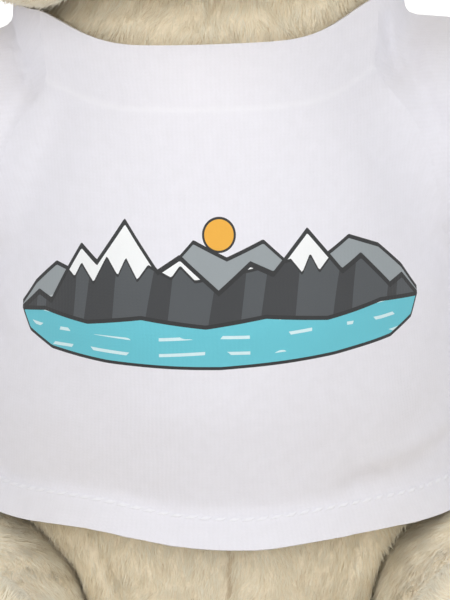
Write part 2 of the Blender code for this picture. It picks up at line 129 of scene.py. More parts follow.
world = bpy.data.worlds.new("studio")
bpy.context.scene.world = world
world.use_nodes = True
sky = world.node_tree
background = sky.nodes["Background"].inputs
background["Color"].default_value = (1, 1, 1, 1)
seen = sky.nodes.new("ShaderNodeLightPath")
strength = sky.nodes.new("ShaderNodeMapRange")
strength.inputs["To Min"].default_value = 0.36
sky.links.new(seen.outputs["Is Camera Ray"], strength.inputs["Value"])
sky.links.new(strength.outputs[0], background["Strength"])
print("lamps", len(bpy.data.lights))

# %% [markdown]
# ## Small tools
#
# Blender's mesh data takes whole numpy arrays, so a shape is worked out as an array of points and given to
# the mesh in one call. Node trees are long when written link by link, so a node's output is kept as a wire
# that sums, products and comparisons can be written with.


# %% Mesh tools
def make_piece(name, points, faces):
    """A mesh object from an array of points and an array of faces with equal corner counts."""
    points, faces = np.asarray(points, np.float32).reshape(-1, 3), np.asarray(faces, np.int32)
    mesh = bpy.data.meshes.new(name)
    mesh.vertices.add(len(points))
    mesh.vertices.foreach_set("co", points.ravel())
    mesh.loops.add(faces.size)
    mesh.loops.foreach_set("vertex_index", faces.ravel())
    mesh.polygons.add(len(faces))
    mesh.polygons.foreach_set("loop_start", np.arange(0, faces.size, faces.shape[1], dtype=np.int32))
    mesh.update(calc_edges=True)
    mesh.shade_smooth()
    piece = bpy.data.objects.new(name, mesh)
    bpy.context.scene.collection.objects.link(piece)
    return piece


def grid_faces(rows, columns):
    """The quads between neighbouring rows of points. The last column joins the first, so a row is a ring."""
    row, column = np.meshgrid(np.arange(rows - 1) * columns, np.arange(columns), indexing="ij")
    after = (column + 1) % columns
    corners = [row + column, row + after, row + columns + after, row + columns + column]
    return np.stack(corners, -1).reshape(-1, 4)


def points_of(mesh):
    """A mesh's points as an array."""
    out = np.empty(len(mesh.vertices) * 3, np.float32)
    mesh.vertices.foreach_get("co", out)
    return out.reshape(-1, 3).astype(float)


def set_points(mesh, points):
    """Gives a mesh new places for its points."""
    mesh.vertices.foreach_set("co", np.asarray(points, np.float32).ravel())
    mesh.update()


def normals_of(mesh):
    """A mesh's point normals as an array."""
    out = np.empty(len(mesh.vertices) * 3, np.float32)
    mesh.vertex_normals.foreach_get("vector", out)
    return out.reshape(-1, 3).astype(float)


def unit(ways):
    """Rows scaled to length 1. Rows of zeros stay zero."""
    return ways / np.maximum(np.linalg.norm(ways, axis=-1, keepdims=True), 1e-6)


def box_of(name):
    """The low and the high corner of a node's box, as arrays."""
    return [np.array(corner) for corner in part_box(name)]


def copy_of(node_name, name):
    """A new piece with a copy of a solid's mesh, its doubled points joined, and no material."""
    piece = bpy.data.objects.new(name, frame["nodes"][node_name].data.copy())
    bpy.context.scene.collection.objects.link(piece)
    piece.data.materials.clear()
    tidy_mesh(piece, 1e-6)
    return piece


def settle(piece):
    """Makes what the piece's modifiers show its own mesh."""
    shown = piece.evaluated_get(bpy.context.evaluated_depsgraph_get())
    mesh = bpy.data.meshes.new_from_object(shown)
    piece.modifiers.clear()
    piece.data = mesh
    mesh.name = piece.name
    mesh.shade_smooth()
    return mesh


def tidy_mesh(piece, distance):
    """Joins points that lie closer than a distance, and turns the faces outwards."""
    shape = bmesh.new()
    shape.from_mesh(piece.data)
    bmesh.ops.remove_doubles(shape, verts=shape.verts, dist=distance)
    bmesh.ops.recalc_face_normals(shape, faces=shape.faces)
    shape.to_mesh(piece.data)
    shape.free()
    piece.data.shade_smooth()


def subdivide(piece, levels):
    """Subdivides a piece, in the view as in the render."""
    finer = piece.modifiers.new("finer", "SUBSURF")
    finer.levels = finer.render_levels = levels
    settle(piece)


def remesh(piece, voxel):
    """Rebuilds a piece from even faces of about a size."""
    grid = piece.modifiers.new("even", "REMESH")
    grid.mode, grid.voxel_size = "VOXEL", voxel
    settle(piece)


def smooth(mesh, rounds):
    """Moves each point halfway to the mean of its neighbours, a number of times."""
    shape = bmesh.new()
    shape.from_mesh(mesh)
    axes = {"use_axis_x": True, "use_axis_y": True, "use_axis_z": True}
    for _ in range(rounds):
        bmesh.ops.smooth_vert(shape, verts=shape.verts, factor=0.5, **axes)
    shape.to_mesh(mesh)
    shape.free()


def keep_value(mesh, name, values):
    """Stores one number for each point, which a material can read by name."""
    mesh.attributes.new(name, "FLOAT", "POINT").data.foreach_set("value", np.asarray(values, np.float32))


def ramp01(value, low, high):
    """0 below low, 1 above high, and a smooth rise between them."""
    part = np.clip((value - low) / (high - low), 0, 1)
    return part * part * (3 - 2 * part)


def bell(distance, width):
    """A bell curve of a distance."""
    return np.exp(-((distance / width) ** 2))


def ripple(points, size, seed):
    """Smooth noise between about -1 and 1: 7 sine waves of about one length, summed, in seeded directions."""
    pick = np.random.default_rng(seed)
    ways = pick.normal(size=(7, 3))
    ways /= np.linalg.norm(ways, axis=1, keepdims=True) * size * pick.uniform(0.7, 1.5, (7, 1))
    return np.sin(points @ ways.T * 2 * math.pi + pick.uniform(0, 2 * math.pi, 7)).sum(1) / math.sqrt(7)


# %% Node tools
class Wire:
    """A shader node's output. Arithmetic and comparisons with it add Math nodes, and & and | join masks."""

    def __init__(self, socket):
        self.socket = socket
        self.tree = socket.id_data

    def math(self, operation, *others):
        """The output of a Math node that takes this one first."""
        return node(self.tree, "Math", dict(enumerate((self, *others))), operation=operation)

    def of(self, output):
        """Another output of the same node."""
        return Wire(self.socket.node.outputs[output])

    def __add__(self, other):
        return self.math("ADD", other)

    def __sub__(self, other):
        return self.math("SUBTRACT", other)

    def __mul__(self, other):
        return self.math("MULTIPLY", other)

    def __truediv__(self, other):
        return self.math("DIVIDE", other)

    def __lt__(self, other):
        return self.math("LESS_THAN", other)

    def __gt__(self, other):
        return self.math("GREATER_THAN", other)

    def __or__(self, other):
        return self.math("MAXIMUM", other)

    def __abs__(self):
        return self.math("ABSOLUTE")

    __and__ = __mul__


def put(socket, value):
    """Gives a socket a value, or the output that feeds it."""
    if isinstance(value, Wire):
        value.tree.links.new(value.socket, socket)
    else:
        socket.default_value = value


def node(tree, kind, inputs=(), output=0, **settings):
    """Adds a node and returns one of its outputs. inputs maps a socket's name or number to its value."""
    made = tree.nodes.new("ShaderNode" + kind)
    for name, value in settings.items():
        setattr(made, name, value)
    for socket, value in dict(inputs).items():
        put(made.inputs[socket], value)
    return Wire(made.outputs[output])


def mapped(value, low, high, first=0.0, last=1.0, **settings):
    """The output of a clamped Map Range node: first at low, last at high."""
    return node(value.tree, "MapRange", {0: value, 1: low, 2: high, 3: first, 4: last}, **settings)


def blend(share, below, above):
    """The output of a Mix node for colours: below at 0, above at 1."""
    return node(share.tree, "Mix", {0: share, 6: below, 7: above}, 2, data_type="RGBA")


def noise(vector, scale, detail):
    """The output of a Noise Texture node."""
    return node(vector.tree, "TexNoise", {"Vector": vector, "Scale": scale, "Detail": detail})


def kept(tree, name):
    """A number that the mesh stores for each point."""
    return node(tree, "Attribute", output="Fac", attribute_name=name)


def finish_of(name, **values):
    """A new material with its Principled shader's constants set on its own sockets."""
    made = bpy.data.materials.new(name)
    made.use_nodes = True
    inputs = made.node_tree.nodes["Principled BSDF"].inputs
    for socket, value in values.items():
        put(inputs[socket.replace("_", " ")], value)
    return made, made.node_tree, inputs


def group_of(name, inputs, outputs):
    """An empty shader node group, the wires that it is given and the sockets that it makes."""
    tree = bpy.data.node_groups.new(name, "ShaderNodeTree")
    for way, sockets in (("INPUT", inputs), ("OUTPUT", outputs)):
        for label, kind in sockets.items():
            tree.interface.new_socket(label, in_out=way, socket_type="NodeSocket" + kind)
    given = tree.nodes.new("NodeGroupInput").outputs
    return tree, {label: Wire(given[label]) for label in inputs}, tree.nodes.new("NodeGroupOutput").inputs


def srgb(red, green, blue):
    """A colour given in 0 to 255 picture values, as the linear colour that shaders take."""
    share = np.array([red, green, blue]) / 255
    line = np.where(share <= 0.04045, share / 12.92, ((share + 0.055) / 1.055) ** 2.4)
    return (*line.tolist(), 1.0)


print("tools ready")

# %% [markdown]
# ## Floor
#
# A plain pale disc carries the toy's soft shadow. Away from the toy it glows a little for the camera, so that
# it ends in white and no edge shows behind the toy.

# %% Floor
turns = np.linspace(0, 2 * math.pi, 96, endpoint=False)
reaches = np.array([0, 0.1, 0.3, 0.8, 2.0, 4.0])[:, None]
rings = [reaches * np.cos(turns), reaches * np.sin(turns), np.full((6, 96), -0.0002)]
floor = make_piece("floor", np.stack(rings, -1), grid_faces(6, 96))
tidy_mesh(floor, 1e-6)
paper, tree, sockets = finish_of("floor_paper", Roughness=0.9, Emission_Color=(1, 1, 1, 1))
place = node(tree, "TexCoord", output="Object")
put(sockets["Base Color"], blend(noise(place, 60.0, 4.0), srgb(245, 244, 243), srgb(249, 248, 247)))
reach = node(tree, "VectorMath", {0: place}, "Value", operation="LENGTH")
glow = mapped(reach, 0.18, 0.60, 0, 0.35) + mapped(reach, 0.6, 2.0, 0, 0.65)
put(sockets["Emission Strength"], glow * node(tree, "LightPath", output="Is Camera Ray"))
floor.data.materials.append(paper)
floor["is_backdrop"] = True
print("floor", len(floor.data.polygons), "faces")

# %% [markdown]
# ## Plush
#
# Short-pile plush is a knitted backing with cut fibres that lie one way, brushed downwards. It could be
# particles or a bump alone, but neither leaves Blender as a shape. Here the backing is the stuffed skin and
# the pile is real: thousands of closed spikes with four faces each, lying the way the nap runs. Their
# colour comes from their own UV map, where across is a tuft's tone and up is root to tip.


# %% Plush finishes
tuft_mottle, given, made = group_of(
    "tuft_mottle", {"Vector": "Vector", "Tuft Size": "Float"}, {"Value": "Float"})
per_metre = given["Tuft Size"].math("POWER", -1.0)
broad, fine = noise(given["Vector"], per_metre, 2.0), noise(given["Vector"], per_metre * 7.0, 3.0)
put(made["Value"], fine * 0.45 + broad * 0.55)


def mottled(tree, size):
    """Soft mottling at an object's own coordinates: broad tufts of a size, and fine fibres."""
    place = node(tree, "TexCoord", output="Object")
    return node(tree, "Group", {"Vector": place, "Tuft Size": size}, node_tree=tuft_mottle)


def backing_finish(name, light, dark, patch=None):
    """The skin under the pile, mottled by tufts. A patch's colours show where the mesh's value is below 1."""
    made, tree, sockets = finish_of(name, Roughness=0.95, Sheen_Weight=0.2, Sheen_Roughness=0.5)
    mottle = mottled(tree, 0.005)
    share = mapped(mottle, 0.3, 0.7)
    colour = blend(share, dark, light)
    if patch:
        inside = mapped(kept(tree, "patch"), 1.02, 0.98)
        colour = blend(inside, colour, blend(share, patch[1], patch[0]))
    put(sockets["Base Color"], colour)
    put(sockets["Normal"], node(tree, "Bump", {"Height": mottle, "Distance": 0.0006, "Strength": 0.8}))
    return made


def pile_finish(name, light, mid, dark):
    """The pile, read from the spikes' UV map: painted shade darkens the root, the tip is light, each tuft in
    its tone.
    """
    made, tree, sockets = finish_of(name, Roughness=0.88, Sheen_Weight=0.35, Sheen_Roughness=0.4)
    tone = node(tree, "SeparateXYZ", {0: node(tree, "UVMap", uv_map="OFBake")})
    tones = node(tree, "ValToRGB", {0: tone})
    stops = tones.socket.node.color_ramp.elements
    for place, colour in ((0.05, dark), (0.35, mid), (0.95, light)):
        stops.new(place).color = colour
    stops.remove(stops[-1])
    stops.remove(stops[0])
    # Painted shade deep in the pile: towards the root the colour is mixed with the dark colour
    rise = mapped(tone.of(1), 0.0, 0.7, 0.55, 1.0, interpolation_type="SMOOTHSTEP")
    put(sockets["Base Color"], blend(rise, dark, tones))
    return made


CREAM = srgb(250, 238, 213), srgb(243, 229, 202)
TAN = srgb(214, 190, 152), srgb(186, 160, 122)
cream_backing = backing_finish("cream_backing", *CREAM)
cream_pile = pile_finish("cream_pile", srgb(251, 245, 225), srgb(250, 240, 215), srgb(231, 214, 185))
sole_finish = backing_finish("sole_plush", *TAN)
ear_backing = backing_finish("ear_backing", *CREAM, TAN)
print("plush finishes", cream_backing.name, cream_pile.name)

# %% [markdown]
# ## Stuffed skins
#
# Each plush piece is a sewn bag filled with fibre. Its solid is copied, merged, remeshed to even faces and
# blown up a little with the Cloth simulation, its seam lines held back by pins, as thread holds them on the
# real toy. The growth is capped, so that a skin keeps clear of the shirt and of its neighbours.


# %% Stuffing
def inflate(piece, held, cap):
    """Cloth with air pressure for 20 frames, pinned where held is true. No point moves more than the cap."""
    before = points_of(piece.data)
    group = piece.vertex_groups.new(name="seam")
    for index in np.flatnonzero(held).tolist():
        group.add([index], 1.0, "REPLACE")
    cloth = piece.modifiers.new("cloth", "CLOTH")
    cloth.settings.use_pressure = True
    cloth.settings.uniform_pressure_force = 4
    cloth.settings.vertex_group_mass = "seam"
    cloth.settings.effector_weights.gravity = 0
    cloth.collision_settings.use_collision = False
    for frame_number in range(1, 21):
        bpy.context.scene.frame_set(frame_number)
    settle(piece)
    bpy.context.scene.frame_set(1)
    moved = points_of(piece.data) - before
    far = np.linalg.norm(moved, axis=1, keepdims=True)
    set_points(piece.data, before + moved * np.minimum(1, cap / np.maximum(far, 1e-9)))
    piece.vertex_groups.clear()
    return float(far.max())


def stuffed(node_name, body, voxel, cap=0.0, slack=0.0004, rounds=0):
    """A skin over one solid: copy, even remesh, rounds of smoothing, inflation up to a cap, one subdivision.

    Torso and head are held at x = 0, where their seam is."""
    piece = copy_of(node_name, node_name + "_skin")
    remesh(piece, voxel)
    smooth(piece.data, rounds)
    set_points(piece.data, points_of(piece.data) - normals_of(piece.data) * slack)
    grown = 0.0
    if cap:
        held = (np.abs(points_of(piece.data)[:, 0]) < voxel) & (node_name in ("torso", "head"))
        grown = inflate(piece, held, cap)
    subdivide(piece, 1)
    piece.data.materials.append(cream_backing)
    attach(piece, body)
    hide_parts(node_name)
    print(piece.name, len(piece.data.polygons), "faces, swelled", round(grown * 1000, 1), "mm before the cap")
    return piece


def dent(piece, distance, elsewhere, depth, width):
    """Presses a valley into a skin along its normals: depth times a bell curve of the distance from a line.

    There is no valley elsewhere. Both are functions of x, y and z."""
    points = points_of(piece.data)
    press = depth * bell(distance(*points.T), width) * ~elsewhere(*points.T)
    set_points(piece.data, points - normals_of(piece.data) * press[:, None])


def from_line(points, corners):
    """The least distance of 2-D points from a bent line through corners."""
    best = np.full(len(points), 1.0)
    for start, end in zip(np.asarray(corners[:-1], float), np.asarray(corners[1:], float)):
        way = end - start
        part = np.clip((points - start) @ way / (way @ way), 0, 1)
        best = np.minimum(best, np.linalg.norm(points - start - part[:, None] * way, axis=1))
    return best


# %% [markdown]
# The belly has a seam down its middle, and beside each thigh the cloth is drawn into a second soft valley,
# about 4 mm inside the crease. The head has a seam over its crown, and each leg one along its top.

# %% Skins of torso and head
THIGH_VALLEY = [(0.0325, 0.058), (0.0295, 0.0478), (0.0245, 0.0364), (0.0205, 0.022)]
UNDER_SHIRT, HEAD_FOOT, BROW, CROWN_TILT = 0.07, 0.155, 0.19, 0.052
torso_skin = stuffed("torso", "body", voxel=0.0042, cap=0.0008)
head_skin = stuffed("head", "body", voxel=0.0045, cap=0.0012)
dent(
    torso_skin, lambda x, y, z: x, lambda x, y, z: (y > MIDDLE) | (z > UNDER_SHIRT),
    depth=0.0019, width=0.0015)
dent(
    torso_skin, lambda x, y, z: from_line(np.stack([np.abs(x), z], -1), THIGH_VALLEY),
    lambda x, y, z: y > MIDDLE, depth=0.0013, width=0.0013)
dent(
    head_skin, lambda x, y, z: x - CROWN_TILT * (z - HEAD_FOOT), lambda x, y, z: z < BROW,
    depth=0.0007, width=0.0014)

# %% [markdown]
# The head's underside is raised clear of the shirt's neckline, and the neck swells a little there and rises
# 3 mm into the head, so that no gap shows between them. How high the head's underside lies over a place of
# the neck is a mean of its points, weighted by a bell curve of how far off they are.

# %% Neck
NECK_LOW, NECK_HIGH, NECK_WIDE, NECK_DEEP = 0.148, 0.156, 0.037, 0.031
CHIN_LIFT, OVERLAP, NEAR_HEAD, RIM_RISE, RIM_SWELL = 0.0055, 0.0030, 0.003, 0.0045, 0.0012
points = points_of(head_skin.data)
chin = points[:, 2].min()
lift = CHIN_LIFT - 0.0040 * ramp01(-points[:, 0], 0.022, 0.036)
set_points(head_skin.data, points + np.outer(lift * (1 - ramp01(points[:, 2], chin, chin + 0.03)), UP))
lower = points_of(head_skin.data)[normals_of(head_skin.data)[:, 2] < -0.1]
points = points_of(torso_skin.data)
away = (points - (0, MIDDLE, 0))[:, :2]
off = np.linalg.norm(away[:, None] - lower[None, :, :2] + (0, MIDDLE), axis=2)
share = bell(off, NEAR_HEAD) + 1e-12
under = share @ lower[:, 2] / share.sum(1)
off_axis = np.hypot(away[:, 0] / NECK_WIDE, away[:, 1] / NECK_DEEP)
swell = ramp01(points[:, 2], NECK_LOW, NECK_HIGH)
rim = swell * ramp01(off_axis, 0.5, 0.95)
rise = (swell > 0.5) * np.maximum(under + OVERLAP - points[:, 2], 0) * (1 - ramp01(off_axis, 0.86, 1.02))
rise = np.maximum(rise, RIM_RISE * rim)
outwards = np.pad(unit(away), ((0, 0), (0, 1)))
set_points(torso_skin.data, points + outwards * (RIM_SWELL * rim)[:, None] + np.outer(rise, UP))
print("neck rises up to", round(float(rise.max()) * 1000, 1), "mm into the head")

# %% Skins of the limbs
limb_skins = {}
for side, word in WORDS.items():
    hip_x, hip_y, _ = HIP[side]
    limb_skins["arm", side] = stuffed("arm_" + word, word + "_arm", voxel=0.0036, cap=0.0006)
    limb_skins["leg", side] = stuffed("leg_" + word, word + "_leg", voxel=0.0040, cap=0.0008)
    dent(
        limb_skins["leg", side], lambda x, y, z: x - hip_x, lambda x, y, z: (z < 0.03) | (y > hip_y - 0.050),
        depth=0.0006, width=0.0014)

# %% [markdown]
# The muzzle, ears and tail are small and tight, so they are remeshed and smoothed but not inflated. Each
# reaches a few millimetres into the piece that it is sewn to, so that no slit shows behind it.

# %% Skins of the small pieces
MUZZLE_REACH, TAIL_REACH, EAR_REACH, EAR_CUP, EAR_PINCH = 0.012, 0.005, 0.0045, 0.0022, 0.20
muzzle_skin = stuffed("muzzle", "body", voxel=0.0024, slack=0, rounds=4)
points = points_of(muzzle_skin.data)
sewn = points[:, 1].max()
stretch = MUZZLE_REACH * ramp01(points[:, 1], sewn - 0.006, sewn - 0.001)
set_points(muzzle_skin.data, points + np.outer(stretch, BACKWARDS))
tail_skin = stuffed("tail", "body", voxel=0.0020, slack=0, rounds=4)
points = points_of(tail_skin.data)
sewn = points[:, 1].min()
stretch = TAIL_REACH * (1 - ramp01(points[:, 1], sewn + 0.001, sewn + 0.005))
set_points(tail_skin.data, points - np.outer(stretch, BACKWARDS))
ear_skins, ear_ways = {}, {}
for side, word in WORDS.items():
    ear_skins[side] = stuffed("ear_" + word, "body", voxel=0.0014, slack=-0.0002, rounds=8)
head_middle = points_of(head_skin.data).mean(0)
for side, skin in ear_skins.items():
    points = points_of(skin.data)
    middle = points.mean(0)
    way = unit((middle - head_middle) * (1, 0, 1))
    beside = np.cross(way, BACKWARDS)
    high, aside = (points - middle) @ way, (points - middle) @ beside
    base = 1 - ramp01(high, high.min(), high.min() + 0.008)
    cup = EAR_CUP * bell(aside, 0.0085) * bell(high - 0.001, 0.0075)
    cup *= ramp01(-normals_of(skin.data)[:, 1], 0.2, 0.7)
    points = points - np.outer(base * EAR_REACH, way) - np.outer(base * aside * EAR_PINCH, beside)
    set_points(skin.data, points + np.outer(cup, BACKWARDS))
    ear_ways[side] = (middle, way, beside)

# %% [markdown]
# ## The T-shirt's shape
#
# A T-shirt is a tube with two sleeves set in. The tube follows the torso at a small ease, and cloth bridges
# the armpit in a wide fillet, but folds sharply on top of the shoulder. Lofted panels would not meet in such
# a fillet, so the whole shirt is one surface: the places where a distance function is zero. The function is
# a smooth minimum of the distance from the body tube and from each sleeve.

# %% Torso rows
TORSO_TOP, TORSO_WIDE, TORSO_FRONT, TORSO_BACK = 0.157, 0.054, 0.052, 0.043
# Each row: share of the top's height, and shares of the half-width, front depth and back depth
TORSO_ROWS = np.array([
    (0.00, 0.66, 0.60, 0.68), (0.03, 0.83, 0.74, 0.83), (0.11, 0.96, 0.84, 0.96), (0.22, 1.00, 0.89, 1.00),
    (0.35, 1.00, 0.92, 1.00), (0.48, 0.97, 0.98, 0.97), (0.60, 0.92, 1.00, 0.92), (0.72, 0.85, 0.92, 0.85),
    (0.84, 0.78, 0.77, 0.77), (0.93, 0.73, 0.66, 0.71), (1.00, 0.70, 0.60, 0.66),
])


def softened(values, reach):
    """Values along a line, averaged with a bell curve as window that reaches so many places to each side."""
    window = bell(np.linspace(-2, 2, 2 * reach + 1), 1)
    return np.convolve(np.pad(values, reach, "edge"), window / window.sum(), "valid")


fine_levels = np.linspace(-0.1, 1.15, 251)
smooth_rows = [softened(np.interp(fine_levels, TORSO_ROWS[:, 0], row), 8) for row in TORSO_ROWS[:, 1:].T]


def torso_sizes(height):
    """Half-width, front depth and back depth at each height: the table's rows, smoothed by a bell curve."""
    shares = [np.interp(height / TORSO_TOP, fine_levels, row) for row in smooth_rows]
    return shares[0] * TORSO_WIDE, shares[1] * TORSO_FRONT, shares[2] * TORSO_BACK


print("torso half-width and depths at the belly", np.round(torso_sizes(0.09), 4))

# %% [markdown]
# The hem is lowest in the middle of the front and hangs a little lower on the right. The neckline is a flat
# scoop. The armhole seam starts near the neck, runs outwards over the shoulder's front and then down.

# %% Edges of the shirt
HEM, HEM_DROP, HEM_TILT, HEM_BAND = 0.0522, 0.0030, 0.036, 0.0062
NECK_SIDE, NECK_FRONT = 0.1542, 0.1490
SLEEVE_LENGTH, SLEEVE_RADIUS, FABRIC, EASE = 0.036, 0.0213, 0.0013, 0.0018


def frontness(x, y):
    """1 straight in front of the torso's middle line, 0 at its sides and behind."""
    return np.clip((MIDDLE - y) / np.maximum(np.hypot(x, y - MIDDLE), 1e-6), 0, 1)


def smooth_line(places, values, width):
    """A function through a bent line whose corners are rounded by a bell curve of a width."""
    fine = np.linspace(places[0] - 4 * width, places[-1] + 4 * width, 401)
    soft = softened(np.interp(fine, places, values), int(2 * width / (fine[1] - fine[0])))
    return lambda at: np.interp(at, fine, soft)


hem_shift = smooth_line(
    np.array([-50, -44, -34, -24, -17, -10, 0, 8, 16, 29, 43, 50]) * MM,
    np.array([-2.4, -2.2, 0.0, 0.3, -0.6, -1.3, -1.7, -1.6, -0.9, -0.8, -1.6, -1.6]) * MM, 0.005)


def hem_at(x, y):
    """Height of the hem: a dip in front, steeper in the middle, a tilt to the right, a slow wave behind."""
    turn = np.arctan2(y - MIDDLE, x)
    wave = 0.0006 * np.sin(3 * turn + 0.6) * ramp01(y - MIDDLE, 0, 0.02)
    front = ramp01(MIDDLE - y, -0.006, 0.012)
    return HEM - HEM_DROP * frontness(x, y) ** 2 + front * (hem_shift(x) - HEM_TILT * x) + wave


def neck_at(x, y):
    """Height of the neckline: high at the sides and behind, with a flat scoop in front."""
    scoop = ramp01(frontness(x, y), 0.45, 0.93)
    return NECK_SIDE - (NECK_SIDE - NECK_FRONT) * scoop


seam_front = smooth_line(
    np.array([70, 104, 112, 122, 130.5, 136, 141, 147]) * MM,
    np.array([87.6, 46.8, 46.2, 44.5, 41, 36.5, 33, 34.5]) * MM, 0.0025)
seam_behind = smooth_line(
    np.array([70, 104, 115, 130, 140, 147]) * MM,
    np.array([87.3, 46.5, 44.5, 40, 37, 35]) * MM, 0.0025)


def seam_at(y, z):
    """How far out the armhole seam lies at a height: nearer the neck in front than behind."""
    share = ramp01(y, MIDDLE - 0.008, MIDDLE + 0.008)
    return seam_front(z) + (seam_behind(z) - seam_front(z)) * share


DROOP = math.radians(8)
ARM_WAY = {
    side: np.array((side * math.cos(DROOP) ** 2, -math.sin(DROOP), -math.sin(DROOP) * math.cos(DROOP)))
    for side in (-1, 1)
}
print("hem in front", round(float(hem_at(np.array([0.0]), np.array([-0.02]))[0]) * 1000, 1), "mm up")

# %% [markdown]
# Folds are valleys and ridges along short lines: beside the neck where sleeve and shoulder meet, down the
# sleeve's front, along the armhole on the left, and one long crease above the hem on the right. Broad soft
# waves keep the rest from looking pressed.

# %% Folds
# Each row: depth (a ridge is negative), width, corners of the line in x and z, in millimetres
FRONT_FOLDS = [
    (1.2, 1.1, [(36.5, 149), (37.0, 143), (38.5, 138)]),
    (1.1, 1.6, [(41.5, 140), (44.0, 134), (47.5, 127)]),
    (-0.8, 2.2, [(45.0, 142), (48.0, 134), (52.0, 126)]),
    (1.3, 1.0, [(-42.5, 150), (-40.0, 144), (-37.5, 138)]),
    (-0.7, 2.4, [(-33.0, 139), (-37.0, 130), (-41.5, 120), (-43.5, 110)]),
    (0.6, 2.0, [(-37.0, 139), (-42.0, 131), (-46.0, 122)]),
    (0.9, 1.8, [(47.0, 61), (38.0, 58.5), (26.0, 58.0)]),
    (-0.5, 2.4, [(48.0, 66), (40.0, 63.5), (30.0, 62.5)]),
    (0.7, 2.2, [(46.5, 104), (49.0, 97), (48.0, 88)]),
    (0.6, 2.0, [(-46.5, 104), (-48.0, 96), (-46.5, 89)]),
]
BACK_FOLDS = [
    (1.5, 2.4, [(-38, 128), (-30, 112), (-27, 92)]),
    (1.3, 2.2, [(37, 126), (33, 108), (34, 84)]),
    (-1.2, 3.4, [(-20, 122), (-17, 98), (-20, 70)]),
    (1.3, 2.8, [(8, 96), (6, 76), (9, 54)]),
    (-1.2, 3.2, [(16, 92), (18, 72), (22, 54)]),
    (1.1, 2.4, [(-44, 92), (-38, 76), (-40, 58)]),
    (1.0, 2.6, [(-26, 138), (0, 131), (27, 138)]),
]


def fold_height(points):
    """How far the folds lift the cloth at each point, from the lines in front and the lines behind."""
    flat = points[:, [0, 2]]
    lift = np.zeros(len(points))
    in_front = ramp01(MIDDLE - points[:, 1], -0.004, 0.008)
    at_back = ramp01(points[:, 1] - MIDDLE, -0.002, 0.010)
    for lines, share in ((FRONT_FOLDS, in_front), (BACK_FOLDS, at_back)):
        for depth, width, corners in lines:
            lift -= depth * MM * bell(from_line(flat, np.array(corners) * MM), width * MM) * share
    return lift + 0.00028 * ripple(points, 0.034, 5) + 0.00007 * ripple(points, 0.011, 6)


FLARE, BAND_STEP, HEM_WAVE, COLLAR = 0.0034, 0.0005, 0.0007, 0.0010
SLOUCH, CUFF_FLARE, CUFF_STEP = 0.0006, 0.0006, 0.0004
ARMPIT_FILLET, SHOULDER_FILLET = 0.013, 0.003


def off_body(points):
    """Distance outside the body tube, along a level line, less ease, flare, hem band, waves and collar."""
    x, y, z = points[:, 0], points[:, 1] - MIDDLE, points[:, 2]
    wide, front, behind = torso_sizes(z)
    depth = np.where(y > 0, behind, front)
    reach = np.hypot(x, y)
    share = np.maximum(np.hypot(x / wide, y / depth), 1e-3)
    above = z - hem_at(points[:, 0], points[:, 1])
    flare = np.clip(1 - above / (HEM_BAND + 0.0018), 0, 1.3)
    band = BAND_STEP * ramp01(HEM_BAND - above, -0.0006, 0.0006)
    turn = np.arctan2(y, x)
    wave = HEM_WAVE * np.sin(5 * turn + 1.1) * np.clip(1 - above / 0.03, 0, 1) * (0.25 + 0.75 * (y > 0))
    collar = COLLAR * ramp01(z, 0.138, 0.148) * np.abs(x) / np.maximum(reach, 1e-6)
    return reach * (1 - 1 / share) - EASE - FLARE * flare ** 1.2 - band - wave - collar


def off_sleeve(points, side):
    """Distance outside a sleeve: from the arm's line, less a radius that widens a little at the cuff."""
    away = points - SHOULDER[side]
    along = away @ ARM_WAY[side]
    across = np.linalg.norm(away - np.maximum(along, 0)[:, None] * ARM_WAY[side], axis=1)
    slouch = SLOUCH * np.sin(along / 0.0075 + away[:, 1] / 0.006) * ramp01(along, 0.008, 0.016)
    cuff = CUFF_FLARE * ramp01(along, 0.024, 0.036) + CUFF_STEP * ramp01(along, 0.0302, 0.0312)
    return across - SLEEVE_RADIUS - cuff - slouch


def smooth_least(first, second, size):
    """The lesser of two distances, rounded where they are closer than a size."""
    share = np.clip(0.5 + 0.5 * (second - first) / size, 0, 1)
    return second + (first - second) * share - size * share * (1 - share)


def off_shirt(points):
    """Distance outside the whole shirt: wide fillets at the armpits, tight ones on the shoulders, folds."""
    size = ARMPIT_FILLET + (SHOULDER_FILLET - ARMPIT_FILLET) * ramp01(points[:, 2], 0.134, 0.144)
    joined = off_body(points)
    for side in (-1, 1):
        joined = smooth_least(joined, off_sleeve(points, side), size)
    return joined - fold_height(points)


print("shirt functions ready")

# %% [markdown]
# A rough blank of tube and sleeves is remeshed to even faces, and then every point is walked down the
# function's slope until it lies on the surface. Edges are cut exactly: the mesh is warped so that the curved
# edge becomes a plane, bisected there, and warped back.

# %% Blank of the shirt
def tube(rings):
    """The quads of rings of points, closed by a point at the middle of each end ring."""
    rings = np.concatenate([rings[:1] * 0 + rings[0].mean(0), rings, rings[-1:] * 0 + rings[-1].mean(0)])
    return rings.reshape(-1, 3), grid_faces(len(rings), rings.shape[1])


turn = np.linspace(0, 2 * math.pi, 96, endpoint=False)
height = np.linspace(0.040, 0.162, 60)[:, None]
wide, front, behind = torso_sizes(height)
depth = np.where(np.sin(turn) > 0, behind, front) + 0.003
rings = np.broadcast_arrays((wide + 0.003) * np.cos(turn), MIDDLE + depth * np.sin(turn), height)
blank_points, blank_faces = tube(np.stack(rings, -1))
for side, way in ARM_WAY.items():
    across = unit(np.cross(way, UP))
    up = np.cross(across, way)
    along = np.linspace(-0.012, SLEEVE_LENGTH + 0.006, 24)[:, None, None]
    ring = np.cos(turn)[:, None] * across + np.sin(turn)[:, None] * up
    points, faces = tube(SHOULDER[side] + along * way + SLEEVE_RADIUS * ring)
    blank_faces = np.concatenate([blank_faces, faces + len(blank_points)])
    blank_points = np.concatenate([blank_points, points])
shirt = make_piece("shirt_blank", blank_points, blank_faces)
tidy_mesh(shirt, 1e-6)
remesh(shirt, 0.0015)


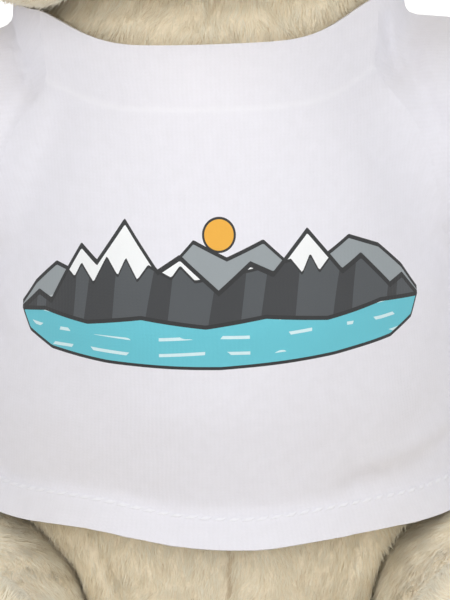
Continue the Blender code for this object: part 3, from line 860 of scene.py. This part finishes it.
def raise_seam(points, side, lift):
    """Lifts cloth along a piece's edge at the armhole, so that one piece lies on the other at the seam."""
    out = side * points[:, 0]
    near = bell(out - seam_at(points[:, 1], points[:, 2]), 0.0018) * (out > 0)
    return points + unit(points - (SHOULDER[side] - (side * 0.03, 0, 0))) * (near * lift)[:, None]


def onto_surface(points, steps):
    """Walks points down the slope of the shirt's distance function, at most 1.2 mm a step along each axis."""
    ways = np.eye(3) * 0.0001
    for _ in range(steps):
        slope = np.stack([(off_shirt(points + way) - off_shirt(points - way)) / 0.0002 for way in ways], -1)
        step = off_shirt(points)[:, None] * slope / np.maximum((slope ** 2).sum(1, keepdims=True), 0.2)
        points = points - np.clip(step, -0.0012, 0.0012)
    return points


set_points(shirt.data, onto_surface(points_of(shirt.data), 5))
smooth(shirt.data, 3)
set_points(shirt.data, onto_surface(points_of(shirt.data), 4))
print("shirt blank", len(shirt.data.polygons), "faces")


# %% Cut the edges
SLIVER = 0.0004


def trim(mesh, warp, unwarp, way, middle=(0, 0, 0)):
    """Cuts a warped mesh at a plane and removes what lies beyond it, then warps it back.

    Points that lie close to the plane are moved onto it first, so that the cut leaves no slivers."""
    points = warp(points_of(mesh))
    off = (points - middle) @ np.array(way)
    set_points(mesh, points - np.outer(np.where(np.abs(off) < SLIVER, off, 0), way))
    shape = bmesh.new()
    shape.from_mesh(mesh)
    everything = [*shape.verts, *shape.edges, *shape.faces]
    bmesh.ops.bisect_plane(shape, geom=everything, dist=1e-7, plane_co=middle, plane_no=way, clear_outer=True)
    shape.to_mesh(mesh)
    shape.free()
    set_points(mesh, unwarp(points_of(mesh)))


def shifted(axis, by, sign=1):
    """A warp that subtracts a function of the other two axes from one axis, and its opposite."""
    others = [n for n in range(3) if n != axis]

    def there(points):
        points = points.copy()
        points[:, axis] = sign * points[:, axis] - by(*points[:, others].T)
        return points

    def back_again(points):
        points = points.copy()
        points[:, axis] = sign * (points[:, axis] + by(*points[:, others].T))
        return points

    return there, back_again


SLEEVE_LIFT, BODY_LIFT = 0.00036, 0.00042
trim(shirt.data, *shifted(2, neck_at), (0, 0, 1))
trim(shirt.data, *shifted(2, hem_at), (0, 0, -1))
for side, way in ARM_WAY.items():
    trim(shirt.data, lambda p: p, lambda p: p, way, SHOULDER[side] + way * SLEEVE_LENGTH)
sleeve_meshes = {}
for side in (-1, 1):
    sleeve_meshes[side] = shirt.data.copy()
    for mesh, way, lift in ((sleeve_meshes[side], -1, SLEEVE_LIFT), (shirt.data, 1, BODY_LIFT)):
        trim(mesh, *shifted(0, seam_at, side), (way, 0, 0))
        set_points(mesh, raise_seam(points_of(mesh), side, lift))
print("body", len(shirt.data.polygons), "faces; sleeves", [len(m.polygons) for m in sleeve_meshes.values()])

# %% [markdown]
# ## Jersey, with its print
#
# Single jersey shows fine upright ribs, called wales, about 0.9 mm apart, and small V-shaped loops in them.
# They follow the cloth, so each piece of the shirt gets a UV map in metres: across is the length round the
# body or the arm, up is the length along it. The knit is a node group that body and sleeves share.


# %% Cloth map
def map_cloth(mesh, turns, size, along):
    """A UV map in metres from a turn, the length of one radian of it, and a length along the cloth."""
    corners = np.empty(len(mesh.loops), np.int32)
    mesh.loops.foreach_get("vertex_index", corners)
    starts = np.empty(len(mesh.polygons), np.int32)
    mesh.polygons.foreach_get("loop_start", starts)
    face = np.repeat(np.arange(len(starts)), np.diff(np.append(starts, len(corners))))
    turn = turns[corners]
    most = np.maximum.reduceat(turn, starts)[face]
    turn = np.where(most - turn > math.pi, turn + 2 * math.pi, turn)
    uv = np.stack([turn * size[corners], along[corners]], -1)
    mesh.uv_layers.new(name="cloth").data.foreach_set("uv", uv.astype(np.float32).ravel())


def level_length(points):
    """Length round the torso from the middle of the front, as radians of a circle as large as the section."""
    x, y, z = points[:, 0], points[:, 1] - MIDDLE, points[:, 2]
    wide, front, behind = torso_sizes(z)
    depth = np.where(y > 0, behind, front)
    turn = np.arctan2(x / wide, -y / depth)
    return turn, (wide + depth) / 2 + EASE


def dress(piece, turns, size, along, above_hem, below_neck, off_seam):
    """Gives a piece of the shirt its cloth map, the lengths that its material reads, and a wall.

    The wall is thickest in the hem band, and the cut edges are sharp."""
    mesh = piece.data
    map_cloth(mesh, turns, size, along)
    for name, values in (("above_hem", above_hem), ("below_neck", below_neck), ("off_seam", off_seam)):
        keep_value(mesh, name, values)
    double = piece.vertex_groups.new(name="double")
    share = 1 - ramp01(above_hem, HEM_BAND - 0.001, HEM_BAND + 0.001)
    for index in np.flatnonzero(share).tolist():
        double.add([index], float(share[index]), "REPLACE")
    wall = piece.modifiers.new("fabric", "SOLIDIFY")
    wall.thickness, wall.offset = FABRIC, -1
    wall.vertex_group, wall.thickness_vertex_group = "double", 0.55
    mesh.shade_smooth()
    edges = np.empty(len(mesh.loops), np.int32)
    mesh.loops.foreach_get("edge_index", edges)
    rim = np.bincount(edges, minlength=len(mesh.edges)) == 1
    mesh.attributes.new("sharp_edge", "BOOLEAN", "EDGE").data.foreach_set("value", rim)


# %% Shirt pieces
NOWHERE = 0.05
shirt.name = shirt.data.name = "tshirt_body"
points = points_of(shirt.data)
x, y, z = points.T
dress(shirt, *level_length(points), z, z - hem_at(x, y), neck_at(x, y) - z, np.abs(y - MIDDLE))
sleeves = {}
for side, word in WORDS.items():
    sleeve = bpy.data.objects.new("tshirt_sleeve_" + word, sleeve_meshes[side])
    bpy.context.scene.collection.objects.link(sleeve)
    points = points_of(sleeve.data)
    away = points - SHOULDER[side]
    along = away @ ARM_WAY[side]
    under_arm = np.where(away[:, 2] > 0, NOWHERE, np.abs(points[:, 1] - MIDDLE))
    dress(
        sleeve, np.arctan2(away[:, 1], away[:, 2]), np.full(len(away), SLEEVE_RADIUS), along,
        SLEEVE_LENGTH - along, np.full(len(away), NOWHERE), under_arm)
    sleeves[side] = sleeve
print("sleeves", [len(sleeve.data.polygons) for sleeve in sleeves.values()])


# %% Knit group
WALE, COURSE = 0.0009, 0.0007


def jersey_group():
    """Wales as a cosine across, loops as a cosine up whose phase makes a V in each wale, and uneven yarn."""
    tree, given, made = group_of("jersey_knit", {"Cloth": "Vector"}, {"Height": "Float", "Shade": "Float"})
    cloth = given["Cloth"]
    across = node(tree, "SeparateXYZ", {0: cloth})
    wale = (noise(cloth, 160.0, 2.0) * 0.0011 + across) / WALE
    rib = (wale * (2 * math.pi)).math("COSINE")
    loop = across.of(1) / COURSE + wale.math("PINGPONG", 0.5)
    course = (loop * (2 * math.pi)).math("COSINE")
    height = course * 0.10 + (rib * 0.20 + noise(cloth, 2600.0, 3.0))
    put(made["Height"], height)
    # Painted shade: the knit's hollows are darker in colour, mixed with the yarn's uneven tone
    put(made["Shade"], height * 0.3 + noise(cloth, 420.0, 4.0) * 0.7)
    return tree


jersey_knit = jersey_group()
print("knit group", len(jersey_knit.nodes), "nodes")

# %% [markdown]
# The print is a generic mountain landscape of flat colours with thin dark outlines: dark peaks with snow, a
# pale range behind them, a small amber sun and a turquoise lake. A Float Curve node with straight handles is
# a skyline, so each shape is a comparison of the height with a curve, and an outline is a small distance
# from it.

# %% Print
PRINT_MIDDLE, PRINT_HALF_WIDTH, PRINT_HALF_HEIGHT = 0.1010, 0.0480, 0.0150
SUN_PLACE, SUN_RADIUS = (0.505, 0.90), 0.10
# Corners of each line: share of the print's width, share of its height
SKYLINE = [
    (0, .30), (.06, .44), (.10, .40), (.19, .80), (.23, .70), (.30, .98), (.37, .66), (.42, .76), (.50, .52),
    (.57, .70), (.62, .62), (.70, .88), (.78, .58), (.83, .66), (.91, .42), (.95, .46), (1, .30)]
SNOWLINE = [
    (0, .60), (.14, .66), (.17, .58), (.19, .68), (.22, .56), (.255, .74), (.28, .62), (.30, .74),
    (.325, .60), (.35, .70), (.40, .62), (.42, .70), (.45, .60), (.66, .70), (.685, .60), (.705, .72),
    (.725, .60), (.75, .68), (1, .66)]
FAR_RANGE = [
    (0, .34), (.05, .50), (.12, .66), (.20, .60), (.34, .50), (.45, .86), (.52, .74), (.60, .84), (.68, .60),
    (.80, .80), (.88, .70), (.95, .52), (1, .34)]
SHORE = [
    (0, .30), (.08, .34), (.2, .30), (.33, .36), (.47, .30), (.6, .35), (.74, .29), (.88, .34), (1, .30)]
LAKE_BED = [
    (0, .30), (.03, .16), (.10, .07), (.25, .03), (.5, .0), (.75, .03), (.90, .07), (.97, .16), (1, .30)]


def skyline(across, corners):
    """The height of a bent line at each place across, from a Float Curve node with straight handles."""
    made = node(across.tree, "FloatCurve", {"Value": across})
    mapping = made.socket.node.mapping
    points = mapping.curves[0].points
    for number, corner in enumerate(corners):
        point = points[number] if number < 2 else points.new(0.5, 0.5)
        point.location = corner
    for point in points:
        point.handle_type = "VECTOR"
    mapping.update()
    return made


INK, OUTLINE, AMBER, PALE, MIST = (22, 24, 26), (20, 22, 24), (240, 176, 52), (150, 158, 162), (188, 195, 198)
ROCK, LIT_ROCK, SNOW = (44, 47, 50), (72, 77, 81), (246, 248, 249)
WATER, GLINT = (98, 198, 214), (214, 240, 245)


def print_group():
    """The landscape's colour and its mask on the cloth map, painted from back to front."""
    tree, given, made = group_of("landscape_print", {"Cloth": "Vector"}, {"Color": "Color", "Mask": "Float"})
    side = node(tree, "SeparateXYZ", {0: given["Cloth"]})
    x = side * (0.5 / PRINT_HALF_WIDTH) + 0.5
    z = (side.of(1) - PRINT_MIDDLE) * (0.5 / PRINT_HALF_HEIGHT) + 0.5
    lines = SKYLINE, SNOWLINE, FAR_RANGE, SHORE, LAKE_BED
    ridge, snow, far, shore, bed = (skyline(x, line) for line in lines)
    off_sun = {0: (x - SUN_PLACE[0]) * (PRINT_HALF_WIDTH / PRINT_HALF_HEIGHT), 1: z - SUN_PLACE[1]}
    sun = node(tree, "VectorMath", {0: node(tree, "CombineXYZ", off_sun)}, "Value", operation="LENGTH")
    near, distant, land, rim = z < ridge, z < far, z < shore, sun < SUN_RADIUS + 0.015
    far_edge, ridge_edge = abs(z - far) < 0.014, abs(z - ridge) < 0.020
    slanted = (ridge - z) * 0.055 + x
    lit = skyline(slanted, SKYLINE) > skyline(slanted + 0.02, SKYLINE)
    rows = (z * 9.0 + shore * 3.0).math("PINGPONG", 0.5) < 0.10
    glints = rows & (noise(given["Cloth"], 150.0, 0.0) > 0.55)
    colour = (1, 1, 1, 1)
    for mask, paint in (
        (rim, INK), (sun < SUN_RADIUS, AMBER), (distant, PALE), (distant & (z < far * 0.5 + 0.13), MIST),
        (far_edge, INK), (near, ROCK), (near & lit, LIT_ROCK), (near & (z > snow), SNOW),
        (near & (abs(z - snow) < 0.010), INK), (ridge_edge, OUTLINE), (land, WATER), (land & glints, GLINT),
        (abs(z - shore) < 0.014, OUTLINE), (abs(z - bed) < 0.022, OUTLINE),
    ):
        colour = blend(mask, colour, srgb(*paint))
    put(made["Color"], colour)
    put(made["Mask"], (near | distant | rim | ridge_edge | far_edge) & (x > 0.0) & (x < 1.0) & (z > bed))
    return tree


landscape_print = print_group()
print("print group", len(landscape_print.nodes), "nodes")


# %% Jersey finishes
STITCH, FACING = 0.0027, 0.0125


def jersey_finish(name, printed):
    """White jersey: knit, a facing's edge under the neckline, side seams, hem band and slanted stitches."""
    made, tree, sockets = finish_of(name, Roughness=0.92, Sheen_Weight=0.15, Sheen_Roughness=0.6)
    cloth = node(tree, "UVMap", uv_map="cloth")
    knit = node(tree, "Group", {"Cloth": cloth}, node_tree=jersey_knit)
    above = kept(tree, "above_hem")
    # The knit's colour output is painted shade of its loops, mixed with uneven yarn
    colour = blend(mapped(knit.of("Shade"), 0.25, 0.85), srgb(232, 231, 238), srgb(238, 237, 245))
    # The hem band is whiter: partly its double layer, partly painted light for its outward tilt
    band = mapped(above, HEM_BAND + 0.0003, HEM_BAND - 0.0003)
    colour = blend(band * 0.15, colour, srgb(240, 241, 249))
    off_line = above - (HEM_BAND - 0.0003)
    step = ((off_line * -1.6 + node(tree, "SeparateXYZ", {0: cloth})) / STITCH).math("FRACT")
    stitched = mapped(abs(off_line), 0.00042, 0.00022) * mapped(abs(step - 0.5), 0.34, 0.24)
    colour = blend(stitched * 0.4, colour, srgb(250, 250, 254))
    # Painted highlight: the facing's raised edge under the neckline is lighter in colour, and also bumped
    off_facing = (kept(tree, "below_neck") - FACING) / 0.0007
    facing = (off_facing * off_facing * -1.0).math("EXPONENT")
    colour = blend(facing * 0.25, colour, srgb(248, 248, 253))
    seam = mapped(kept(tree, "off_seam"), 0.0012, 0.0002, interpolation_type="SMOOTHSTEP")
    height = knit.of("Height") * 0.00003 + facing * 0.00010 + seam * 0.00020
    height = height + stitched * 0.00008 + band * 0.00012
    if printed:
        art = node(tree, "Group", {"Cloth": cloth}, node_tree=landscape_print)
        worn = art.of("Mask") * 0.985
        colour = blend(worn, colour, art)
        put(sockets["Roughness"], mapped(worn, 0, 1, 0.92, 0.6))
    put(sockets["Base Color"], colour)
    put(sockets["Normal"], node(tree, "Bump", {"Height": height, "Distance": 1.0, "Strength": 1.0}))
    return made


white_jersey = jersey_finish("white_jersey_sleeve", False)
printed_jersey = jersey_finish("white_jersey_printed", True)
for cloth, finish in ((shirt, printed_jersey), (sleeves[-1], white_jersey), (sleeves[1], white_jersey)):
    cloth.data.materials.append(finish)
    print(cloth.name, "area", round(sum(face.area for face in cloth.data.polygons), 4), "m2")
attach(shirt, "body")
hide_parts("shirt_front", "shirt_back")
# The ends of a line across each armhole's slant are worked out, and each sleeve's transform is baked into its
# mesh
ACROSS_OUT, ACROSS_UP, BEND_START, BEND_END = 0.937, 0.349, 0.0015, 0.0215
for side, word in WORDS.items():
    across = np.array((side * ACROSS_OUT, 0, ACROSS_UP))
    start, end = SHOULDER[side] - across * BEND_START, SHOULDER[side] + across * BEND_END
    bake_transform(sleeves[side])
    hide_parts("sleeve_" + word)
print("shirt dressed")

# %% [markdown]
# ## Pile
#
# Where the nap shows, spikes are scattered over a skin by area, denser where the picture looks closely. Each
# lies along the brushed direction, turned a little by broad noise, which makes the tufts, and lifted a
# little. Nothing grows under the shirt, in the joints' hollows or where one piece sits on another.


# %% Scatter spikes
SPIKE_FACES = np.array([(1, 0, 2), (0, 3, 2), (1, 2, 3), (0, 1, 3)])
SPIKE_LEVELS = np.array([0.06, 0.06, 0.10, 0.95])
SPIKE_WIDTH, SPIKE_RISE, FUZZ_SHARE, ROOT_DEPTH = 0.00015, 0.22, 0.06, 0.0002
TUFT, CURL, BROAD = 0.005, 0.014, 0.022


def scatter_pile(name, skin, body, count, flow, weight, length=0.0031, seed=1, crease=None):
    """Closed four-faced spikes on a skin. flow gives the nap's direction and weight how densely it grows.

    The two upper faces shade mostly as the skin under them, swayed a little by tufts, which keeps the nap
    soft. A crease function paints shade: it darkens the tone where the creases are."""
    pick = np.random.default_rng(seed)
    mesh = skin.data
    mesh.calc_loop_triangles()
    corners = np.empty(len(mesh.loop_triangles) * 3, np.int32)
    mesh.loop_triangles.foreach_get("vertices", corners)
    corners = corners.reshape(-1, 3)
    points, normals = points_of(mesh), normals_of(mesh)
    a, b, c = points[corners].transpose(1, 0, 2)
    area = np.linalg.norm(np.cross(b - a, c - a), axis=1) / 2
    chance = area * weight((a + b + c) / 3, normals[corners].mean(1))
    chosen = pick.choice(len(corners), count, p=chance / chance.sum())
    first, second = pick.random(count), pick.random(count)
    over = first + second > 1
    first[over], second[over] = 1 - first[over], 1 - second[over]
    shares = np.stack([1 - first - second, first, second], -1)[:, :, None]
    root = (points[corners[chosen]] * shares).sum(1)
    up = unit((normals[corners[chosen]] * shares).sum(1))
    nap = flow(root, up)
    nap = unit(nap - (nap * up).sum(1, keepdims=True) * up)
    swirl = 0.26 * ripple(root, CURL, seed + 1) + 0.20 * ripple(root, 0.0040, seed + 2)
    swirl += 0.18 * pick.normal(size=count)
    nap = nap * np.cos(swirl)[:, None] + np.cross(up, nap) * np.sin(swirl)[:, None]
    fuzz = pick.random(count) < FUZZ_SHARE
    rise = SPIKE_RISE + 0.03 * ripple(root, 0.006, seed + 3) + 0.06 * pick.normal(size=count) + 0.3 * fuzz
    rise = np.clip(rise, 0.09, 1.1)
    way = nap * np.cos(rise)[:, None] + up * np.sin(rise)[:, None]
    beside = unit(np.cross(way, up))
    above = np.cross(beside, way)
    stretch = 1 + 0.07 * ripple(root, 0.008, seed + 4) + 0.18 * pick.normal(size=count)
    tip = way * (length * stretch.clip(0.5, 1.5))[:, None]
    thick = (SPIKE_WIDTH * pick.uniform(0.75, 1.25, count) * np.where(fuzz, 0.5, 1))[:, None]
    root = root - up * ROOT_DEPTH
    spikes = [root + beside * thick, root - beside * thick, root + above * thick * 1.1, root + tip]
    faces = (np.arange(count)[:, None, None] * 4 + SPIKE_FACES).reshape(-1, 3)
    piece = make_piece(name, np.stack(spikes, 1), faces)
    tone = 0.55 + 0.14 * ripple(root, TUFT, seed + 5) + 0.10 * ripple(root, BROAD, seed + 6)
    tone += 0.17 * pick.normal(size=count)
    # Painted shade: the crease function lowers the tone in seams and creases
    tone = np.clip(tone - (crease(root) if crease else 0), 0.04, 0.96)
    flat = np.stack([-way, above + 0.9 * beside, above - 0.9 * beside, -above], 1)
    soft = np.array([0, 1, 1, 0])[None, :, None]
    tufts = np.stack([ripple(root, 0.0048, seed + 7 + axis) for axis in range(3)], -1)
    shading = unit(soft * ((up + 0.20 * tufts)[:, None] + 0.25 * flat) + (1 - soft) * flat)
    piece.data.normals_split_custom_set(np.repeat(shading.reshape(-1, 3), 3, axis=0).astype(np.float32))
    uv = np.stack([np.repeat(tone, 12), SPIKE_LEVELS[faces.reshape(-1) % 4]], -1)
    piece.data.uv_layers.new(name="OFBake").data.foreach_set("uv", uv.astype(np.float32).ravel())
    piece.data.materials.append(cream_pile)
    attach(piece, body)
    print(name, len(faces), "faces")


def off_ball(points, middle, radius):
    """Distance from a ball, negative inside it."""
    return np.linalg.norm(points - middle, axis=1) - radius


# %% Torso pile
SEAT, HIP_HOLLOW, HIP_CREASE = 0.002, 0.0240, 0.0255


def torso_weight(points, normals):
    """Where the torso's skin shows past the shirt, but not in the hips' hollows or under the seat.

    It is denser in front below the hem, round the neck and along the middle seam."""
    x, y, z = points.T
    shown = ((z < hem_at(x, y) + 0.004) | (z > neck_at(x, y) - 0.004)) & (z > SEAT)
    for side in HIP:
        shown &= off_ball(points, HIP[side], HIP_HOLLOW) > 0
    near = 1 + 2.2 * ((y < MIDDLE - 0.018) & (z > 0.022)) + 1.0 * (z > 0.14)
    return shown * (near + 1.5 * np.exp(-np.abs(x) / 0.003))


def torso_flow(points, normals):
    """Down the belly, along the creases beside the thighs, and outwards round the neck, in curls."""
    outwards = unit((points - (0, MIDDLE, 0)) * (1, 1, 0))
    crease = sum(np.exp(-np.maximum(off_ball(points, HIP[side], 0.025), 0) / 0.004) for side in HIP)
    inwards = np.outer(-0.7 * np.sign(points[:, 0]) * crease, (1.0, 0, 0))
    neck = ramp01(points[:, 2], 0.135, 0.145)
    curls = np.stack([0.45 * ripple(points, 0.007, 91), 0 * neck, 0.35 * ripple(points, 0.006, 92)], -1)
    return outwards * (0.15 + 0.95 * neck)[:, None] + inwards + neck[:, None] * curls - UP


def torso_painted_shade(points):
    """Painted shade: darker in the middle seam, the creases beside the thighs and between the tufts at the
    neck.
    """
    x, y, z = points.T
    middle = bell(x, 0.0008) * (z < 0.07) * (y < MIDDLE)
    hips = sum(bell(np.maximum(off_ball(points, HIP[side], HIP_CREASE), 0), 0.0018) for side in HIP)
    tufts = ramp01(z, 0.138, 0.146) * ripple(points, 0.0045, 93)
    return 0.75 * middle + 0.45 * hips + 0.10 * tufts


scatter_pile("torso_pile", torso_skin, "body", 36000, torso_flow, torso_weight, seed=11, crease=torso_painted_shade)

# %% Head pile
head_low, head_high = box_of("head")
FACE = np.array(((head_low[0] + head_high[0]) / 2, head_low[1] - 0.004, head_low[2] + 0.045))
muzzle_low, muzzle_high = box_of("muzzle")
MUZZLE = (muzzle_low + muzzle_high) / 2
MUZZLE[1] = muzzle_low[1] + 0.021
NOSE_POINT = MUZZLE + (0, -0.03, 0.006)


def head_flow(points, normals):
    """Outwards from the face, and a little down."""
    return unit(points - FACE) - 0.35 * UP


def head_weight(points, normals):
    """Not under the muzzle or inside the neck, and denser low down."""
    off_muzzle = np.linalg.norm((points - MUZZLE) / (0.023, 0.030, 0.0165), axis=1)
    off_neck = np.linalg.norm((points - (0, MIDDLE, TORSO_TOP)) / (0.033, 0.028, 0.012), axis=1)
    return (off_muzzle > 1) * (off_neck > 1) * (1.0 + 0.6 * (points[:, 2] < head_low[2] + 0.02))


scatter_pile("head_pile", head_skin, "body", 48000, head_flow, head_weight, seed=21)

# %% Muzzle, tail and ear pile
scatter_pile(
    "muzzle_pile", muzzle_skin, "body", 7000, lambda p, n: p - NOSE_POINT,
    lambda p, n: (p[:, 1] < muzzle_high[1] - 0.004) * 1.0, length=0.0022, seed=31)
scatter_pile(
    "tail_pile", tail_skin, "body", 2600, lambda p, n: np.tile((0, 0.2, -1.0), (len(p), 1)),
    lambda p, n: np.ones(len(p)), seed=41)
for side, word in WORDS.items():
    middle, way, beside = ear_ways[side]

    def inner_ear(points, normals):
        """Below 1 on an oval on the ear's front, and above 1 off it."""
        away = points - middle
        oval = np.hypot(away @ beside / 0.0095, (away @ way - 0.001) / 0.0085)
        return oval + 2.0 * ramp01(normals[:, 1], -0.3, -0.1)

    skin = ear_skins[side]
    keep_value(skin.data, "patch", inner_ear(points_of(skin.data), normals_of(skin.data)))
    skin.data.materials[0] = ear_backing
    scatter_pile(
        "ear_pile_" + word, skin, "body", 6000, lambda p, n: p - middle + way * 0.014,
        lambda p, n: (inner_ear(p, n) > 1) * 1.0, length=0.0024, seed=51 + side)

# %% Limb pile
LEG_FLOOR, IN_TORSO = 0.0012, 0.0040
for side, word in WORDS.items():
    cuff = SHOULDER[side] + ARM_WAY[side] * (SLEEVE_LENGTH - 0.006)
    scatter_pile(
        "arm_pile_" + word, limb_skins["arm", side], word + "_arm", 11000,
        lambda p, n: np.tile(ARM_WAY[side] - 0.3 * UP, (len(p), 1)),
        lambda p, n: ((p - cuff) @ ARM_WAY[side] > 0) * 1.0, seed=61 + side)
    sole_low, sole_high = box_of("sole_" + word)
    sole_middle, sole_half = (sole_low + sole_high) / 2, (sole_high - sole_low) / 2
    hip_y = HIP[side][1]

    def leg_weight(points, normals):
        """Not on the sole, inside the torso or under the leg, and denser on the thigh."""
        x, y, z = points.T
        share = (points - sole_middle)[:, [0, 2]] / (sole_half[[0, 2]] - 0.001)
        on_sole = (np.hypot(*share.T) < 1) & (y < sole_low[1] + 0.006)
        wide, front, _ = torso_sizes(z)
        in_torso = np.hypot(x / (wide - IN_TORSO), (y - MIDDLE) / (front - IN_TORSO)) < 1
        return ~on_sole * ~in_torso * (z > LEG_FLOOR) * (1 + 1.0 * (y > hip_y - 0.045))

    def leg_flow(points, normals):
        """Inwards and down on the thigh, then forwards, and on the foot away from its sole."""
        thigh = ramp01(points[:, 1], hip_y - 0.045, hip_y - 0.020)[:, None]
        foot = ramp01(-points[:, 1], -sole_low[1] - 0.030, -sole_low[1] - 0.016)[:, None]
        from_sole = unit((points - sole_middle) * (1, 0, 1)) + (0, 0.35, -0.35)
        along = thigh * (-side * 0.55, -0.45, -1.0) + (1 - thigh) * (side * 0.12, -1.0, -0.35)
        return foot * from_sole + (1 - foot) * along

    scatter_pile(
        "leg_pile_" + word, limb_skins["leg", side], word + "_leg", 48000, leg_flow, leg_weight,
        seed=71 + side)

# %% [markdown]
# ## Face and soles
#
# The nose and eyes are moulded from hard glossy plastic. Their solids are subdivided until no facet shows and
# scaled back to their size, and the eyes' points are moved onto an ellipsoid. The soles are short-nap cloth
# and stay as they are in the solids.

# %% Plastic and sole finishes
def plastic(name, dark, light, rough, size, **values):
    """Moulded plastic, whose colour and gloss vary faintly in spots of a size."""
    made, tree, sockets = finish_of(name, **values)
    mottle = mottled(tree, size)
    put(sockets["Base Color"], blend(mottle, dark, light))
    put(sockets["Roughness"], mapped(mottle, 0, 1, *rough))
    return made


nose_finish = plastic(
    "nose_plastic_fine", srgb(52, 38, 32), srgb(70, 52, 44), (0.28, 0.42), 0.004,
    Coat_Weight=0.35, Coat_Roughness=0.15, Specular_IOR_Level=0.5)
eye_finish = plastic(
    "eye_plastic_fine", srgb(16, 12, 10), srgb(34, 24, 18), (0.08, 0.16), 0.006,
    Coat_Weight=1.0, Coat_Roughness=0.03)
for name, finish in (("nose", nose_finish), ("eye_left", eye_finish), ("eye_right", eye_finish)):
    piece = copy_of(name, name + "_moulded")
    before = points_of(piece.data)
    middle, size = before.mean(0), np.ptp(before, axis=0)
    subdivide(piece, 3)
    points = points_of(piece.data)
    points = (points - middle) * (size / np.ptp(points, axis=0))
    if finish is eye_finish:
        points = points / np.linalg.norm(points / (size / 2), axis=1, keepdims=True)
    set_points(piece.data, middle + points)
    piece.data.materials.append(finish)
    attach(piece, "body")
    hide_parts(name)
    name.split("_")[0] + "_plastic"
    print(piece.name, len(piece.data.polygons), "faces")
for word in WORDS.values():
    materials = frame["nodes"]["sole_" + word].data.materials
    materials.clear()
    materials.append(sole_finish)

# %% [markdown]
# The mouth is embroidered: one stitched line down from the nose, ending in two shallow arcs. A run of short
# stitches also holds each sole's edge. A stitch is a small spindle that arches over the cloth.

# %% Threads
def lay_on(skin, across, up):
    """The front of a skin at places across and up: the depths of its points, averaged by a bell curve."""
    points, normals = points_of(skin.data), normals_of(skin.data)
    points = points[normals[:, 1] < -0.2]
    near = (across[:, None] - points[:, 0]) ** 2 + (up[:, None] - points[:, 2]) ** 2
    share = np.exp(-near / 0.0012 ** 2) + 1e-12
    return np.stack([across, share @ points[:, 1] / share.sum(1), up], -1)


def thread_run(name, starts, ends, body, finish, radius, arch):
    """Closed spindles between starts and ends: their radius is a sine along them, and they arch forwards."""
    part = np.linspace(0.04, 0.96, 6)[:, None, None]
    ring = np.linspace(0, 2 * math.pi, 6, endpoint=False)[:, None, None]
    way = ends - starts
    beside = unit(np.cross(way, -BACKWARDS))
    up = unit(np.cross(beside, way))
    middles = (starts + part * way + np.sin(math.pi * part) * arch * up)[:, None]
    wide = (radius * np.sin(math.pi * part) ** 0.5)[:, None]
    rings = middles + wide * (np.cos(ring) * beside + np.sin(ring) * up)
    tips = np.ones((1, 6, 1, 1))
    points = np.concatenate([middles[:1] * tips, rings, middles[-1:] * tips]).transpose(2, 0, 1, 3)
    faces = np.arange(len(starts))[:, None, None] * 48 + grid_faces(8, 6)
    piece = make_piece(name, points, faces.reshape(-1, 4))
    tidy_mesh(piece, 1e-6)
    piece.data.materials.append(finish)
    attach(piece, body)
    print(name, len(piece.data.polygons), "faces")


def thread_finish(name, dark, light):
    """Twisted yarn: fine bands across it in colour and bump."""
    made, tree, sockets = finish_of(name, Roughness=0.7, Sheen_Weight=0.2)
    bands = {"Vector": node(tree, "TexCoord", output="Object"), "Scale": 900.0, "Distortion": 1.5}
    twist = node(tree, "TexWave", bands, "Fac", bands_direction="DIAGONAL")
    put(sockets["Base Color"], blend(twist, dark, light))
    put(sockets["Normal"], node(tree, "Bump", {"Height": twist, "Distance": 0.00005}))
    return made


brown_thread = thread_finish("brown_thread", srgb(48, 34, 28), srgb(84, 64, 54))
tan_thread = thread_finish("tan_thread", srgb(150, 124, 88), srgb(196, 170, 130))
MOUTH_DROP, MOUTH_HALF, MOUTH_RISE, MOUTH_TILT = 0.0050, 0.0078, 0.0022, 0.052
nose_low, nose_high = box_of("nose")
nose_middle = (nose_low + nose_high) / 2
lip = nose_low[2] - MOUTH_DROP
arc = np.linspace(-1, 1, 17)
smile = 1.6 * np.abs(arc) ** 2 - 0.7 * np.sin(math.pi * np.abs(arc))
across = np.concatenate([np.zeros(6), arc * MOUTH_HALF])
up = np.concatenate([np.linspace(nose_low[2] + 0.0012, lip, 6), lip + MOUTH_RISE * smile])
shift = nose_middle[0] - MOUTH_TILT * (nose_middle[2] - up)
line = lay_on(muzzle_skin, across + shift, up - MOUTH_TILT * across) - (0, 0.0009, 0)
joined = np.array([number for number in range(len(line) - 1) if number != 5])
reach = (line[joined + 1] - line[joined]) * 0.25
thread_run(
    "mouth_thread", line[joined] - reach, line[joined + 1] + reach, "body", brown_thread,
    radius=0.00048, arch=0.0002)
turn = np.linspace(0, 2 * math.pi, 45)
for side, word in WORDS.items():
    low, high = box_of("sole_" + word)
    middle, half = (low + high) / 2, (high - low) / 2 - 0.0010
    across, up = middle[0] + np.cos(turn) * half[0], middle[2] + np.sin(turn) * half[2]
    ring = lay_on(frame["nodes"]["sole_" + word], across, up) - (0, 0.0002, 0)
    reach = (ring[1:] - ring[:-1]) * 0.12
    thread_run(
        "sole_thread_" + word, ring[:-1] + reach, ring[1:] - reach, word + "_leg", tan_thread,
        radius=0.00035, arch=0.0004)

# %% [markdown]
# ## Finish
#
# The boxes of the solids and of the dressed toy are printed, in millimetres.

# %% Print the boxes
dressed_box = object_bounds()
for name, box in (("solids", solid_box), ("dressed", dressed_box)):
    print(name, [round(size * 1000, 1) for size in box[1] - box[0]], "mm")
